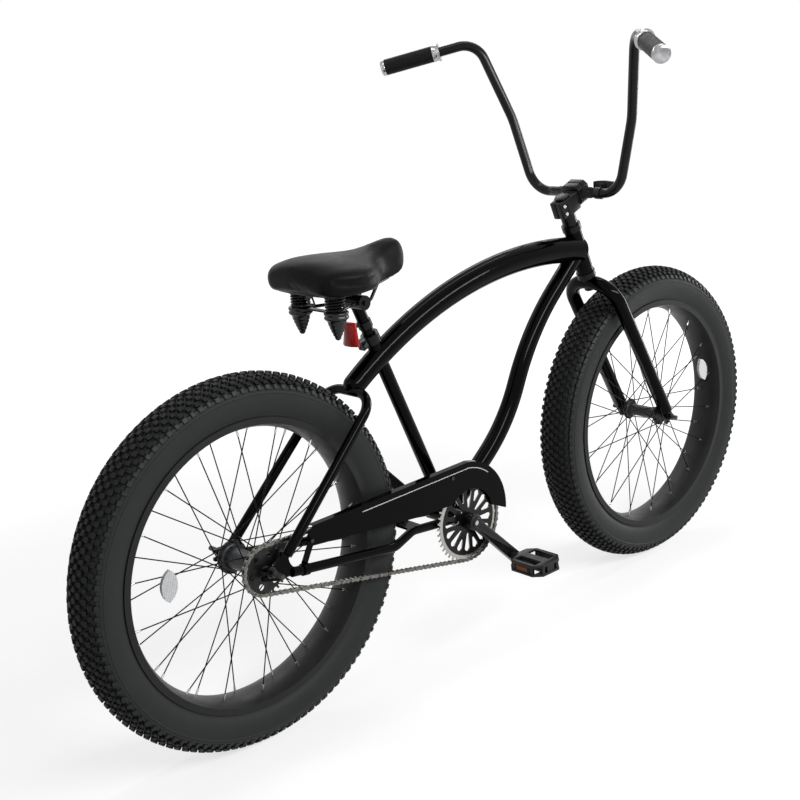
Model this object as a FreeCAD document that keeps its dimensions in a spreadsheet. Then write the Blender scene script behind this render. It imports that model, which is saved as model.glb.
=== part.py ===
import FreeCAD, Part
import math
import operator
import os
import Sketcher

# A beach cruiser with fat tyres, as a parametric document. X points forward, Y to the rider's left,
# Z up, and the origin is on the ground midway between the two axles. The chain runs on the right.

# Driving sizes: lengths in millimetres, angles in degrees, counts and ratios as plain numbers.
SIZES = {
    # Wheels
    "wheelbase": 1254.0,
    "tyre_radius": 370.0,
    "tyre_shoulder_drop": 19.0,
    "tyre_shoulder_half": 43.0,
    "tyre_sidewall_bow": 10.0,
    "tyre_wall": 3.2,
    "tread_wall": 6.5,
    "bead_radius": 280.0,
    "bead_width": 8.0,
    "rim_half_width": 40.0,
    "rim_flange_wall": 3.0,
    "rim_flange_height": 8.0,
    "rim_edge_depth": 5.0,
    "rim_crown_bow": 10.0,
    "rim_well_half": 20.0,
    "rim_well_slope": 6.0,
    "rim_well_depth": 9.0,
    "tube_room": 2.7,
    "tube_lift": 1.8,
    "tube_wall": 1.2,
    "valve_radius": 3.2,
    "valve_length": 44.0,
    "valve_clearance": 0.4,
    "valve_angle": 5.0,
    "spoke_diameter": 2.4,
    "spokes_per_flange": 18,
    "spoke_row_half": 14.0,
    "spoke_cross_angle": 60.0,
    "nipple_diameter": 4.4,
    "nipple_length": 12.0,
    "spoke_hole_inset": 4.5,
    "spoke_clearance": 0.02,
    "flange_thickness": 3.0,
    "reflector_half_length": 31.0,
    "reflector_half_width": 17.0,
    "reflector_thickness": 7.0,
    "rear_lens_orbit": 190.0,
    "rear_lens_angle": 173.0,
    "front_lens_orbit": 228.0,
    "front_lens_angle": 17.0,
    # Hubs and axles
    "axle_radius": 5.0,
    "hub_running_clearance": 0.1,
    "front_dropout_half": 67.5,
    "front_flange_half": 46.0,
    "front_flange_radius": 26.0,
    "front_barrel_radius": 14.0,
    "front_hub_half": 60.0,
    "front_hub_end_radius": 12.0,
    "rear_dropout_half": 75.0,
    "rear_flange_half": 44.0,
    "rear_flange_radius": 34.0,
    "rear_barrel_radius": 21.0,
    "rear_hub_half": 52.0,
    "rear_hub_end_radius": 18.0,
    "hub_fillet": 6.0,
    "locknut_radius": 9.0,
    "axle_overhang": 30.0,
    "rear_axle_overhang": 42.0,
    "axle_nut_span": 15.0,
    "axle_nut_height": 9.0,
    "washer_radius": 11.0,
    "washer_thickness": 1.8,
    # Drive
    "chain_pitch": 12.7,
    "chain_pitches": 120,
    "chainring_teeth": 44,
    "sprocket_teeth": 24,
    "chain_line": 62.0,
    "roller_radius": 3.9,
    "chain_inner_width": 3.6,
    "plate_thickness": 1.1,
    "plate_radius": 4.3,
    "plate_waist": 2.9,
    "pin_radius": 1.8,
    "pin_overhang": 0.5,
    "link_clearance": 0.1,
    "tooth_clearance": 0.6,
    "tooth_height": 3.2,
    "tooth_flank_half": 7.6,
    "toothed_thickness": 2.6,
    "chainring_bore": 14.0,
    "long_slot_inner": 31.0,
    "slot_outer": 69.0,
    "short_slot_inner": 46.0,
    "slot_inner_half": 2.6,
    "slot_outer_half": 7.2,
    "slot_pairs": 8,
    "sprocket_window_radius": 6.5,
    "sprocket_window_orbit": 33.0,
    "sprocket_windows": 6,
    "driver_radius": 20.0,
    "bottom_bracket_drop": 64.0,
    "bottom_bracket_half": 50.0,
    "bottom_bracket_radius": 21.0,
    "bottom_bracket_bore": 17.2,
    "cup_lip": 3.0,
    "cup_depth": 18.0,
    "spindle_radius": 8.5,
    "spindle_half": 84.0,
    "spindle_clearance": 0.05,
    "crank_length": 170.0,
    "crank_angle": -44.0,
    "crank_inner": 74.0,
    "crank_thickness": 15.0,
    "crank_boss_radius": 17.5,
    "crank_tip_radius": 13.5,
    "crank_arm_half": 11.5,
    "crank_bolt_radius": 8.0,
    "crank_bolt_height": 6.0,
    "pedal_axle_radius": 7.0,
    "pedal_axle_clearance": 0.1,
    "pedal_collar_radius": 9.0,
    "pedal_gap": 4.0,
    "pedal_width": 96.0,
    "pedal_half_length": 44.0,
    "pedal_half_height": 13.0,
    "pedal_corner": 18.0,
    "pedal_barrel_half": 11.0,
    "pedal_rail": 10.0,
    "pedal_lens_half": 20.0,
    "pedal_lens_half_height": 6.5,
    "pedal_lens_depth": 3.0,
    # Chain guard
    "guard_inner": 69.0,
    "guard_sheet": 1.4,
    "guard_lip": 13.0,
    "guard_rear_run": 443.0,
    "guard_rear_low": 81.0,
    "guard_rear_top": 120.0,
    "guard_rear_step": 17.0,
    "guard_lower_run": 130.0,
    "guard_lower_rise": 52.0,
    "guard_window_rear": 49.8,
    "guard_window_front": 70.0,
    "guard_window_rise": 17.0,
    "guard_window_bow": 36.0,
    "guard_tip_run": 113.0,
    "guard_tip_drop": 2.0,
    "guard_top_run": 3.0,
    "guard_top_rise": 133.0,
    "guard_front_bow": 36.0,
    "guard_screw_inset": 9.0,
    "guard_screw_rise": 92.0,
    "guard_band_along": 33.0,
    "guard_post_along": 120.0,
    "guard_strut_width": 14.0,
    "guard_strut_thickness": 2.5,
    "guard_screw_radius": 4.0,
    "guard_screw_height": 2.5,
    # Frame
    "head_angle": 67.4,
    "fork_length": 439.5,
    "fork_rake": 51.7,
    "head_tube_length": 112.0,
    "head_tube_radius": 20.0,
    "head_tube_bore": 17.0,
    "seat_angle": 66.8,
    "seat_tube_length": 482.0,
    "seat_tube_radius": 14.3,
    "seat_tube_bore": 12.8,
    "seat_slot_width": 2.4,
    "seat_slot_length": 34.0,
    "top_tube_seat_drop": 55.18,
    "top_tube_tail": 83.15,
    "top_tube_rise_share": 0.08713,
    "top_tube_head_share": 0.52,
    "top_tube_front_radius": 30.0,
    "top_tube_rear_radius": 23.0,
    "tube_metal": 1.8,
    "down_tube_radius": 20.0,
    "down_tube_low_share": 0.3605,
    "down_tube_sag_share": 0.0555,
    "down_tube_high_share": 0.6602,
    "down_tube_swell_share": 0.0372,
    "down_tube_low_bend_share": 0.5457,
    "down_tube_high_bend_share": 0.8042,
    "stay_radius": 10.0,
    "seat_stay_half": 80.0,
    "seat_stay_shoulder_half": 72.0,
    "seat_stay_shoulder_back": 12.0,
    "seat_stay_shoulder_drop": 10.0,
    "seat_stay_foot_run": 40.0,
    "seat_stay_foot_rise": 22.0,
    "seat_stay_bend": 48.0,
    "chain_stay_radius": 9.5,
    "chain_stay_half": 79.0,
    "chain_stay_root_half": 38.0,
    "chain_stay_knee_run": 388.0,
    "chain_stay_knee_half": 51.0,
    "chain_stay_knee_drop": 44.0,
    "chain_stay_waist_run": 322.0,
    "chain_stay_waist_half": 66.5,
    "chain_stay_waist_drop": 56.0,
    "chain_stay_foot_run": 48.0,
    "chain_stay_foot_drop": 16.0,
    "chain_stay_bend": 60.0,
    "bridge_run": 404.0,
    "bridge_length": 34.0,
    "bridge_thickness": 5.0,
    "bridge_hole_radius": 5.2,
    "dropout_thickness": 6.0,
    "dropout_rear": 20.0,
    "dropout_rear_half": 12.0,
    "dropout_front_run": 58.0,
    "dropout_front_low": 21.0,
    "dropout_front_high": 9.0,
    "dropout_top_run": 47.0,
    "dropout_top_rise": 31.0,
    "dropout_slot_front": 12.0,
    "dropout_slot_clearance": 0.2,
    "seat_clamp_radius": 19.0,
    "seat_clamp_height": 20.0,
    "seat_clamp_ear": 13.0,
    "seat_clamp_ear_half": 8.0,
    "seat_clamp_bolt_radius": 3.0,
    "seat_clamp_bolt_head": 5.0,
    "brake_arm_half": 10.0,
    "brake_arm_thickness": 3.0,
    "brake_arm_along": 105.0,
    "brake_clip_wall": 1.5,
    "brake_clip_width": 14.0,
    # Headset, fork and bars
    "cup_height": 11.0,
    "cup_radius": 22.5,
    "race_radius": 16.6,
    "race_clearance": 0.1,
    "race_flange": 3.0,
    "steerer_radius": 14.3,
    "steerer_wall": 2.0,
    "steerer_tail": 36.0,
    "blade_radius": 16.5,
    "blade_half": 68.5,
    "blade_tip_half": 71.0,
    "blade_bend": 60.0,
    "blade_stop": 20.0,
    "crown_drop": 19.5,
    "tip_length": 34.0,
    "tip_thickness": 6.0,
    "tip_foot": 15.0,
    "stem_height": 40.0,
    "stem_lift": 166.0,
    "stem_half_width": 20.0,
    "stem_back": 28.0,
    "stem_ear_half": 16.0,
    "stem_ear_root": 12.0,
    "stem_ear_flare": 4.0,
    "stem_slot": 2.0,
    "stem_pinch_radius": 2.5,
    "stem_pinch_head": 4.0,
    "stem_pinch_back": 19.5,
    "stem_pinch_inset": 10.5,
    "stem_neck": 30.0,
    "stem_reach": 47.7,
    "bar_lift": 194.6,
    "stem_clamp_height": 48.0,
    "stem_clamp_half": 27.0,
    "stem_clamp_chamfer": 9.0,
    "stem_front_depth": 17.0,
    "stem_split": 1.6,
    "stem_bolt_radius": 3.5,
    "stem_bolt_height": 4.0,
    "stem_bolt_rise": 16.5,
    "stem_bolt_half": 13.0,
    "stem_cap_radius": 17.0,
    "stem_cap_height": 5.0,
    "spacer_radius": 17.5,
    "bar_radius": 11.1,
    "bar_sleeve_radius": 12.7,
    "bar_sleeve_half": 45.0,
    "bar_wall": 2.0,
    "bar_foot_half": 124.0,
    "bar_foot_bend": 62.0,
    "bar_kink_half": 173.5,
    "bar_kink_back": 14.0,
    "bar_kink_rise": 166.0,
    "bar_kink_bend": 160.0,
    "bar_top_half": 227.0,
    "bar_top_back": 70.0,
    "bar_top_rise": 347.0,
    "bar_top_bend": 52.0,
    "bar_end_half": 396.0,
    "bar_end_back": 212.0,
    "bar_end_rise": 301.0,
    "grip_length": 121.0,
    "grip_radius": 16.2,
    "grip_bulge": 1.2,
    "collar_length": 17.0,
    "collar_radius": 17.5,
    "collar_flange": 22.0,
    "collar_lip": 2.0,
    "collar_sleeve": 5.0,
    "grip_cap_length": 9.0,
    "grip_cap_wrap": 6.0,
    "grip_cap_bow": 4.0,
    "front_reflector_offset": 68.0,
    "front_reflector_half": 27.0,
    "front_reflector_foot_half": 23.0,
    "front_reflector_low": 7.0,
    "front_reflector_high": 24.0,
    "front_reflector_bow": 2.0,
    "front_reflector_depth": 9.0,
    "front_reflector_rim": 3.0,
    "reflector_screw_radius": 3.0,
    "reflector_screw_rise": 18.0,
    "reflector_clip_wall": 2.5,
    "reflector_clip_width": 15.0,
    # Seat
    "post_radius": 12.7,
    "post_wall": 2.0,
    "post_exposed": 66.0,
    "post_inserted": 150.0,
    "guts_radius": 15.0,
    "guts_half": 30.0,
    "guts_along": 77.0,
    "guts_bolt_radius": 5.0,
    "guts_bolt_height": 5.0,
    "rail_radius": 3.5,
    "rail_half": 21.0,
    "rail_nose_half": 14.0,
    "rail_front_run": 54.0,
    "rail_clamp_front": 22.0,
    "rail_clamp_rear": 28.6,
    "rail_bend": 18.0,
    "rail_link_width": 12.0,
    "spring_back": 94.6,
    "spring_half": 53.0,
    "spring_seat_drop": 1.8,
    "spring_radius": 18.0,
    "spring_wire": 2.4,
    "spring_turns": 3,
    "spring_gap": 0.3,
    "boot_top_radius": 24.5,
    "boot_collar_low": 12.0,
    "boot_collar_bow": 1.6,
    "boot_cup_height": 15.0,
    "boot_cup_wall": 2.5,
    "boot_length": 52.0,
    "boot_waist_radius": 18.5,
    "boot_tip_radius": 5.0,
    "saddle_rear_back": 148.6,
    "saddle_length": 271.0,
    "saddle_bottom_rise": 35.2,
    "saddle_half_width": 118.0,
    "saddle_height": 66.0,
    "saddle_base_thickness": 4.0,
    "base_rear": 24.0,
    "base_rear_half": 82.0,
    "base_rear_bow": 8.0,
    "base_waist": 110.0,
    "base_front": 226.0,
    "base_nose_half": 20.0,
    "tail_lamp_half": 17.0,
    "tail_lamp_top_half": 11.5,
    "tail_lamp_height": 48.0,
    "tail_lamp_depth": 14.0,
    "tail_lamp_top_depth": 10.0,
    "tail_lamp_reach": 22.0,
    "tail_lamp_lift": 24.0,
    "tail_lamp_drop": 14.0,
    # Shared
    "cut_overrun": 5.0,
    "body_clearance": 0.3,
}

# Ratios between neighbouring sizes.
inner_shoulder_share = 0.7
ear_bolt_share = 0.5
bolt_head_share = 1.5
round_share = 0.96
seat_rise_share = 0.28
seat_side_share = 0.96
skirt_share = 0.86
side_bow_share = 0.4
brow_half_share = 0.78
brow_share = 0.78
tip_bow_share = 0.29
tail_face_share = 0.4
tail_side_share = 0.5
# The cover's cross sections: shares of its length, half width, height, and height of its underside.
SADDLE_SHARES = [
    (0.0, 0.66, 0.76, 0.14),
    (0.05, 0.84, 0.95, 0.04),
    (0.16, 0.98, 1.03, 0.0),
    (0.34, 1.0, 0.99, 0.0),
    (0.50, 0.80, 0.95, 0.0),
    (0.62, 0.52, 0.96, 0.0),
    (0.74, 0.34, 1.05, 0.0),
    (0.86, 0.28, 1.16, 0.06),
    (0.95, 0.24, 1.16, 0.16),
    (1.0, 0.15, 0.98, 0.46),
]

doc = FreeCAD.newDocument("fat_tire_bike")
sheet = doc.addObject("Spreadsheet::Sheet", "Sizes")
for row, (alias, amount) in enumerate(SIZES.items(), start=1):
    sheet.set(f"A{row}", alias)
    sheet.set(f"B{row}", str(amount))
    sheet.setAlias(f"B{row}", alias)
doc.recompute()

Vector = FreeCAD.Vector
X_AXIS = Vector(1, 0, 0)
Y_AXIS = Vector(0, 1, 0)
Z_AXIS = Vector(0, 0, 1)
SIGNS = {"+": operator.add, "-": operator.sub, "*": operator.mul, "/": operator.truediv}


class Size:
    """A size from the sheet: its value, and the formula over the sheet's cells that gives it."""

    def __init__(self, value, formula):
        self.value = value
        self.formula = formula

    def __float__(self):
        return self.value

    def __add__(self, other):
        return joined(self, "+", other)

    def __radd__(self, other):
        return joined(other, "+", self)

    def __sub__(self, other):
        return joined(self, "-", other)

    def __rsub__(self, other):
        return joined(other, "-", self)

    def __mul__(self, other):
        return joined(self, "*", other)

    def __rmul__(self, other):
        return joined(other, "*", self)

    def __truediv__(self, other):
        return joined(self, "/", other)

    def __neg__(self):
        return joined(0.0, "-", self)


def formula_of(item):
    return item.formula if isinstance(item, Size) else repr(float(item))


def joined(left, sign, right):
    value = SIGNS[sign](float(left), float(right))
    return Size(value, f"({formula_of(left)} {sign} {formula_of(right)})")


class Sheet:
    """Reads each size of the sheet by its name."""

    def __getattr__(self, alias):
        return Size(float(sheet.get(alias)), f"Sizes.{alias}")


s = Sheet()


def count(size):
    return int(round(float(size)))


def bind(item, **values):
    """Set properties of an object, binding each size to the sheet."""
    for name, value in values.items():
        if isinstance(value, Size):
            item.setExpression(name, value.formula)
        else:
            setattr(item, name, value)
    return item


def add(kind, label, **values):
    item = doc.addObject(kind, label)
    item.Label = label
    return bind(item, **values)


def turned_to(base, direction, from_axis=Z_AXIS):
    return FreeCAD.Placement(base, FreeCAD.Rotation(from_axis, direction))


def put(item, base, direction=Z_AXIS, from_axis=Z_AXIS):
    item.Placement = turned_to(base, direction, from_axis)
    return item


def cylinder(label, radius, height, base, direction=Z_AXIS):
    return put(add("Part::Cylinder", label, Radius=radius, Height=height), base, direction)


def gathered(label, items):
    return add("Part::Compound", label, Links=list(items))


def fused(label, items):
    return add("Part::MultiFuse", label, Shapes=list(items))


def cut(label, base, *tools):
    tool = tools[0] if len(tools) == 1 else gathered(label + "_tools", tools)
    return add("Part::Cut", label, Base=base, Tool=tool)


def copy_at(label, source, base, direction=Z_AXIS, from_axis=Z_AXIS):
    return put(gathered(label, [source]), base, direction, from_axis)


def mirrored(label, source):
    return add("Part::Mirroring", label, Source=source, Normal=Y_AXIS, Base=Vector())


def sketch_on(body, role, name, lift=None, turn=None):
    sketch = body.newObject("Sketcher::SketchObject", f"{body.Name}_{name}")
    plane = next(item for item in body.Origin.OriginFeatures if item.Role == role)
    sketch.AttachmentSupport = (plane, [""])
    sketch.MapMode = "FlatFace"
    if lift is not None:
        bind(sketch, **{"AttachmentOffset.Base.z": lift})
    if turn is not None:
        sketch.AttachmentOffset = FreeCAD.Placement(Vector(), FreeCAD.Rotation(Z_AXIS, 180 / turn.value))
    return sketch


def hold(sketch, edge, place, x, y):
    """Fix one point of a sketch edge at sizes from the sketch's origin."""
    for kind, size in (("DistanceX", x), ("DistanceY", y)):
        index = sketch.addConstraint(Sketcher.Constraint(kind, -1, 1, edge, place, float(size)))
        if isinstance(size, Size):
            sketch.setExpression(f"Constraints[{index}]", size.formula)


def hold_radius(sketch, edge, radius):
    index = sketch.addConstraint(Sketcher.Constraint("Radius", edge, float(radius)))
    sketch.setExpression(f"Constraints[{index}]", radius.formula)


def bowed_radius(start, end, bow):
    run = end[0] - start[0]
    rise = end[1] - start[1]
    return (run * run + rise * rise + 4 * bow * bow) / (8 * bow)


def draw_outline(sketch, corners):
    """Close an outline through corners (x, y). A third number bows the stretch that arrives there,
    to the right of the way it runs when it is positive."""
    edges = []
    for start, end in zip(corners[-1:] + corners[:-1], corners):
        first = Vector(float(start[0]), float(start[1]), 0)
        last = Vector(float(end[0]), float(end[1]), 0)
        if len(end) == 2:
            edges.append((sketch.addGeometry(Part.LineSegment(first, last), False), 1, 2))
            continue
        bow = float(end[2])
        along = last - first
        side = Vector(along.y, -along.x, 0).normalize()
        radius = (along.Length ** 2 + 4 * bow * bow) / (8 * abs(bow))
        centre = (first + last) * 0.5 + side * (bow - math.copysign(radius, bow))
        ends = [first, last] if bow > 0 else [last, first]
        turns = [math.atan2(end.y - centre.y, end.x - centre.x) for end in ends]
        if turns[1] < turns[0]:
            turns[1] += 2 * math.pi
        edge = sketch.addGeometry(Part.ArcOfCircle(Part.Circle(centre, Z_AXIS, radius), *turns), False)
        edges.append((edge, 1, 2) if bow > 0 else (edge, 2, 1))
    for (edge, begin, finish), (after, after_begin, after_finish) in zip(edges, edges[1:] + edges[:1]):
        sketch.addConstraint(Sketcher.Constraint("Coincident", edge, finish, after, after_begin))
    for (edge, begin, finish), start, end in zip(edges, corners[-1:] + corners[:-1], corners):
        hold(sketch, edge, finish, end[0], end[1])
        if len(end) == 3:
            bow = end[2] if float(end[2]) > 0 else -end[2]
            hold_radius(sketch, edge, bowed_radius(start, end, bow))


def draw_circle(sketch, x, y, radius):
    centre = Vector(float(x), float(y), 0)
    edge = sketch.addGeometry(Part.Circle(centre, Z_AXIS, float(radius)), False)
    hold(sketch, edge, 3, x, y)
    hold_radius(sketch, edge, radius)


def turned(label, *outlines, circles=()):
    """A body turned about its own Y axis from outlines in (radius, place along the axis)."""
    body = add("PartDesign::Body", label)
    sketch = sketch_on(body, "XY_Plane", "profile")
    for outline in outlines:
        draw_outline(sketch, outline)
    for circle in circles:
        draw_circle(sketch, *circle)
    turning = body.newObject("PartDesign::Revolution", f"{label}_turning")
    turning.Profile = sketch
    turning.ReferenceAxis = (sketch, ["V_Axis"])
    turning.Angle = 360.0
    return body


def ring_outline(inner, outer, low, high):
    return [(inner, low), (outer, low), (outer, high), (inner, high)]


def plate(label, thickness, outlines=(), circles=(), role="XZ_Plane"):
    """A body padded from outlines on one plane: the XZ plane pads towards the rider's right."""
    body = add("PartDesign::Body", label)
    sketch = sketch_on(body, role, "outline")
    for outline in outlines:
        draw_outline(sketch, outline)
    for circle in circles:
        draw_circle(sketch, *circle)
    pad = body.newObject("PartDesign::Pad", f"{label}_pad")
    pad.Profile = sketch
    bind(pad, Length=thickness)
    return body


def pocket(body, name, outlines=(), circles=(), role="XZ_Plane", lift=None, turn=None):
    """Cut right through a body from a sketch on one of its planes, turned half a step where asked."""
    sketch = sketch_on(body, role, name, lift, turn)
    for outline in outlines:
        draw_outline(sketch, outline)
    for circle in circles:
        draw_circle(sketch, *circle)
    hole = body.newObject("PartDesign::Pocket", f"{body.Name}_{name}_cut")
    hole.Profile = sketch
    hole.Type = "ThroughAll"
    hole.Midplane = True
    return hole


def around(body, feature, copies):
    """Repeat a cut around the normal of its own sketch."""
    pattern = body.newObject("PartDesign::PolarPattern", f"{feature.Name}_round")
    pattern.Originals = [feature]
    pattern.Axis = (feature.Profile[0], ["N_Axis"])
    pattern.Angle = 360.0
    bind(pattern, Occurrences=copies)
    body.Tip = pattern
    return pattern


def bent_wire(points, bends):
    """Straight runs through points, joined by tangent arcs of the given radii."""
    edges = []
    last = points[0]
    for before, corner, after, bend in zip(points, points[1:], points[2:], bends):
        back = (before - corner).normalize()
        ahead = (after - corner).normalize()
        half = back.getAngle(ahead) / 2
        reach = float(bend) / math.tan(half)
        inward = (back + ahead).normalize()
        first = corner + back * reach
        second = corner + ahead * reach
        middle = corner + inward * (float(bend) / math.sin(half) - float(bend))
        edges.append(Part.LineSegment(last, first).toShape())
        edges.append(Part.Arc(first, middle, second).toShape())
        last = second
    edges.append(Part.LineSegment(last, points[-1]).toShape())
    return Part.Wire(edges)


def swept(label, wire, radius, end_radius=None):
    """A round bar along a wire, tapering to a second radius where one is given."""
    path = add("Part::Feature", label + "_line", Shape=wire)
    first = wire.OrderedEdges[0]
    last = wire.OrderedEdges[-1]
    start = first.firstVertex(True).Point
    head = first.tangentAt(first.getParameterByLength(0))
    if first.Orientation == "Reversed":
        head = -head
    sections = [put(add("Part::Circle", label + "_start", Radius=radius), start, head)]
    if end_radius is not None:
        end = last.lastVertex(True).Point
        tail = last.tangentAt(last.LastParameter)
        sections.append(put(add("Part::Circle", label + "_end", Radius=end_radius), end, tail))
    return add("Part::Sweep", label, Sections=sections, Spine=(path, []), Solid=True)


def tube(label, wire, radius, wall, end_radius=None):
    """A swept bar with the bore that its wall leaves."""
    outer = swept(label + "_outer", wire, radius, end_radius)
    small_end = None if end_radius is None else end_radius - wall
    bore = swept(label + "_bore", wire, radius - wall, small_end)
    return outer, bore


def feature(label, shape, base=None, direction=Z_AXIS, from_axis=Z_AXIS):
    item = add("Part::Feature", label, Shape=shape)
    if base is not None:
        put(item, base, direction, from_axis)
    return item


def tilted(angle):
    turn = math.radians(float(angle))
    return Vector(math.cos(turn), 0, math.sin(turn))


NODES = []


def node(item):
    NODES.append(item)
    return item


# Axles, and the bottom bracket: the chain's length and the teeth set how far apart it lies
rear_axle = Vector(-s.wheelbase / 2, 0, s.tyre_radius)
front_axle = Vector(s.wheelbase / 2, 0, s.tyre_radius)


def pitch_radius(teeth):
    value = s.chain_pitch.value / 2 / math.sin(math.pi / teeth.value)
    return Size(value, f"({s.chain_pitch.formula} / 2 / sin(180 / {teeth.formula}))")


ring_size = pitch_radius(s.chainring_teeth)
sprocket_size = pitch_radius(s.sprocket_teeth)
ring_radius = ring_size.value
sprocket_radius = sprocket_size.value


def pitches_for(span):
    """Pitches of chain that two toothed wheels need at a distance, with the parts of its loop."""
    lean = math.asin((ring_radius - sprocket_radius) / span)
    run = span * math.cos(lean) / s.chain_pitch.value
    on_ring = (math.pi + 2 * lean) / (2 * math.pi) * s.chainring_teeth.value
    on_sprocket = (math.pi - 2 * lean) / (2 * math.pi) * s.sprocket_teeth.value
    return lean, run, on_ring, on_sprocket


def chain_span():
    """The distance between the wheels at which the chain closes, found by halving."""
    low = ring_radius + sprocket_radius
    high = s.chain_pitches.value * s.chain_pitch.value
    for step in range(60):
        span = (low + high) / 2
        lean, run, on_ring, on_sprocket = pitches_for(span)
        if 2 * run + on_ring + on_sprocket > s.chain_pitches.value:
            high = span
        else:
            low = span
    return span


span = chain_span()
drop = s.bottom_bracket_drop.value
bracket = rear_axle + Vector(math.sqrt(span * span - drop * drop), 0, -drop)


def from_rear(run, side, rise):
    return rear_axle + Vector(float(run), float(side), float(rise))


# Steering axis: up points along the head tube, ahead square to it in the middle plane
steer_up = Vector(-math.cos(math.radians(s.head_angle)), 0, math.sin(math.radians(s.head_angle)))
steer_ahead = Vector(steer_up.z, 0, -steer_up.x)
head_foot = front_axle + steer_up * s.fork_length.value - steer_ahead * s.fork_rake.value


def on_steerer(lift, ahead=0, side=0):
    return head_foot + steer_up * float(lift) + steer_ahead * float(ahead) + Y_AXIS * float(side)


head_low = s.cup_height
head_high = s.cup_height + s.head_tube_length
headset_top = head_high + s.cup_height

# Head tube: a short straight tube with its bore for the headset cups
head_outline = ring_outline(s.head_tube_bore, s.head_tube_radius, 0, s.head_tube_length)
head_tube = node(turned("head_tube", head_outline))
put(head_tube, on_steerer(head_low), steer_up, Y_AXIS)
head_core = cylinder("head_core", s.head_tube_radius, s.head_tube_length, on_steerer(head_low), steer_up)

# Headset cups: a lip outside each end of the head tube and a spigot pressed into it
cup_spigot = s.cup_height
cup_outline = [
    (s.race_radius + s.race_clearance, -cup_spigot),
    (s.head_tube_bore, -cup_spigot),
    (s.head_tube_bore, 0),
    (s.cup_radius, 0),
    (s.cup_radius, s.cup_height),
    (s.race_radius + s.race_clearance, s.cup_height),
]
upper_cup = put(turned("headset_upper_cup", cup_outline), on_steerer(head_high), steer_up, Y_AXIS)
lower_cup = put(turned("headset_lower_cup", cup_outline), on_steerer(head_low), -steer_up, Y_AXIS)

# Bottom bracket: shell across the frame, with a threaded cup at each side that carries the spindle
shell = node(turned("bottom_bracket_shell", ring_outline(
    s.bottom_bracket_bore, s.bottom_bracket_radius, -s.bottom_bracket_half, s.bottom_bracket_half)))
put(shell, bracket)
shell_core = cylinder("shell_core", s.bottom_bracket_radius, s.bottom_bracket_half * 2,
                      bracket - Y_AXIS * s.bottom_bracket_half.value, Y_AXIS)
bracket_cup_outline = [
    (s.spindle_radius + s.spindle_clearance, -s.cup_depth),
    (s.bottom_bracket_bore, -s.cup_depth),
    (s.bottom_bracket_bore, 0),
    (s.bottom_bracket_radius, 0),
    (s.bottom_bracket_radius, s.cup_lip),
    (s.spindle_radius + s.spindle_clearance, s.cup_lip),
]
side_step = Y_AXIS * s.bottom_bracket_half.value
left_cup = put(turned("bracket_left_cup", bracket_cup_outline), bracket + side_step)
right_cup = put(turned("bracket_right_cup", bracket_cup_outline), bracket - side_step, -Y_AXIS, Y_AXIS)
node(gathered("bearing_cups", [upper_cup, lower_cup, left_cup, right_cup]))

# Seat tube: from the bottom bracket up through the top tube, slotted at its rear for the clamp
seat_up = Vector(-math.cos(math.radians(s.seat_angle)), 0, math.sin(math.radians(s.seat_angle)))
seat_ahead = Vector(seat_up.z, 0, -seat_up.x)
seat_core = cylinder("seat_core", s.seat_tube_radius, s.seat_tube_length, bracket, seat_up)
seat_bore = cylinder("seat_bore", s.seat_tube_bore, s.seat_tube_length + s.cut_overrun, bracket, seat_up)
seat_top = bracket + seat_up * s.seat_tube_length.value
seat_frame = FreeCAD.Rotation(seat_ahead, Y_AXIS, seat_up, "ZXY")
seat_slot = add("Part::Box", "seat_slot", Length=s.seat_tube_radius + s.cut_overrun, Width=s.seat_slot_width,
                Height=s.seat_slot_length + s.cut_overrun)
slot_corner = (seat_top - seat_up * s.seat_slot_length.value - Y_AXIS * (s.seat_slot_width.value / 2)
               - seat_ahead * (s.seat_tube_radius + s.cut_overrun).value)
seat_slot.Placement = FreeCAD.Placement(slot_corner, seat_frame)
node(cut("seat_tube", seat_core, seat_bore, shell_core, seat_slot))

# Top tube: one arched, tapered tube from the head tube across the seat tube to a domed end behind it
top_cross = seat_top - seat_up * s.top_tube_seat_drop.value
top_front = on_steerer(head_low + s.head_tube_length * s.top_tube_head_share)
chord = top_front - top_cross
arch_up = Vector(-chord.z, 0, chord.x).normalize()
arch_rise = chord.Length * s.top_tube_rise_share.value
arch_radius = (chord.Length ** 2 / 4 + arch_rise ** 2) / (arch_rise * 2)
crown = (top_cross + top_front) * 0.5 + arch_up * arch_rise
arch_centre = crown - arch_up * arch_radius
tail_turn = FreeCAD.Rotation(Y_AXIS, -math.degrees(s.top_tube_tail.value / arch_radius))
top_rear = arch_centre + tail_turn.multVec(top_cross - arch_centre)
top_wire = Part.Wire([Part.Arc(top_rear, crown, top_front).toShape()])
top_outer, top_bore = tube(
    "top_tube", top_wire, s.top_tube_rear_radius, s.tube_metal, s.top_tube_front_radius)
top_dome = put(add("Part::Sphere", "top_dome", Radius=s.top_tube_rear_radius), top_rear)
top_core = fused("top_core", [top_outer, top_dome])
node(cut("top_tube", top_core, top_bore, seat_core, head_core))

# Down tube: an S from the bottom bracket to the head tube, mitred to both and to the top tube
down_run = top_front - bracket
down_side = Vector(-down_run.z, 0, down_run.x)
down_low = bracket + down_run * s.down_tube_low_share.value - down_side * s.down_tube_sag_share.value
down_high = bracket + down_run * s.down_tube_high_share.value + down_side * s.down_tube_swell_share.value
down_bends = [s.down_tube_low_bend_share * down_run.Length, s.down_tube_high_bend_share * down_run.Length]
down_wire = bent_wire([bracket, down_low, down_high, top_front], down_bends)
down_outer, down_bore = tube("down_tube", down_wire, s.down_tube_radius, s.tube_metal)
node(cut("down_tube", down_outer, down_bore, shell_core, seat_core, top_core, head_core))

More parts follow.
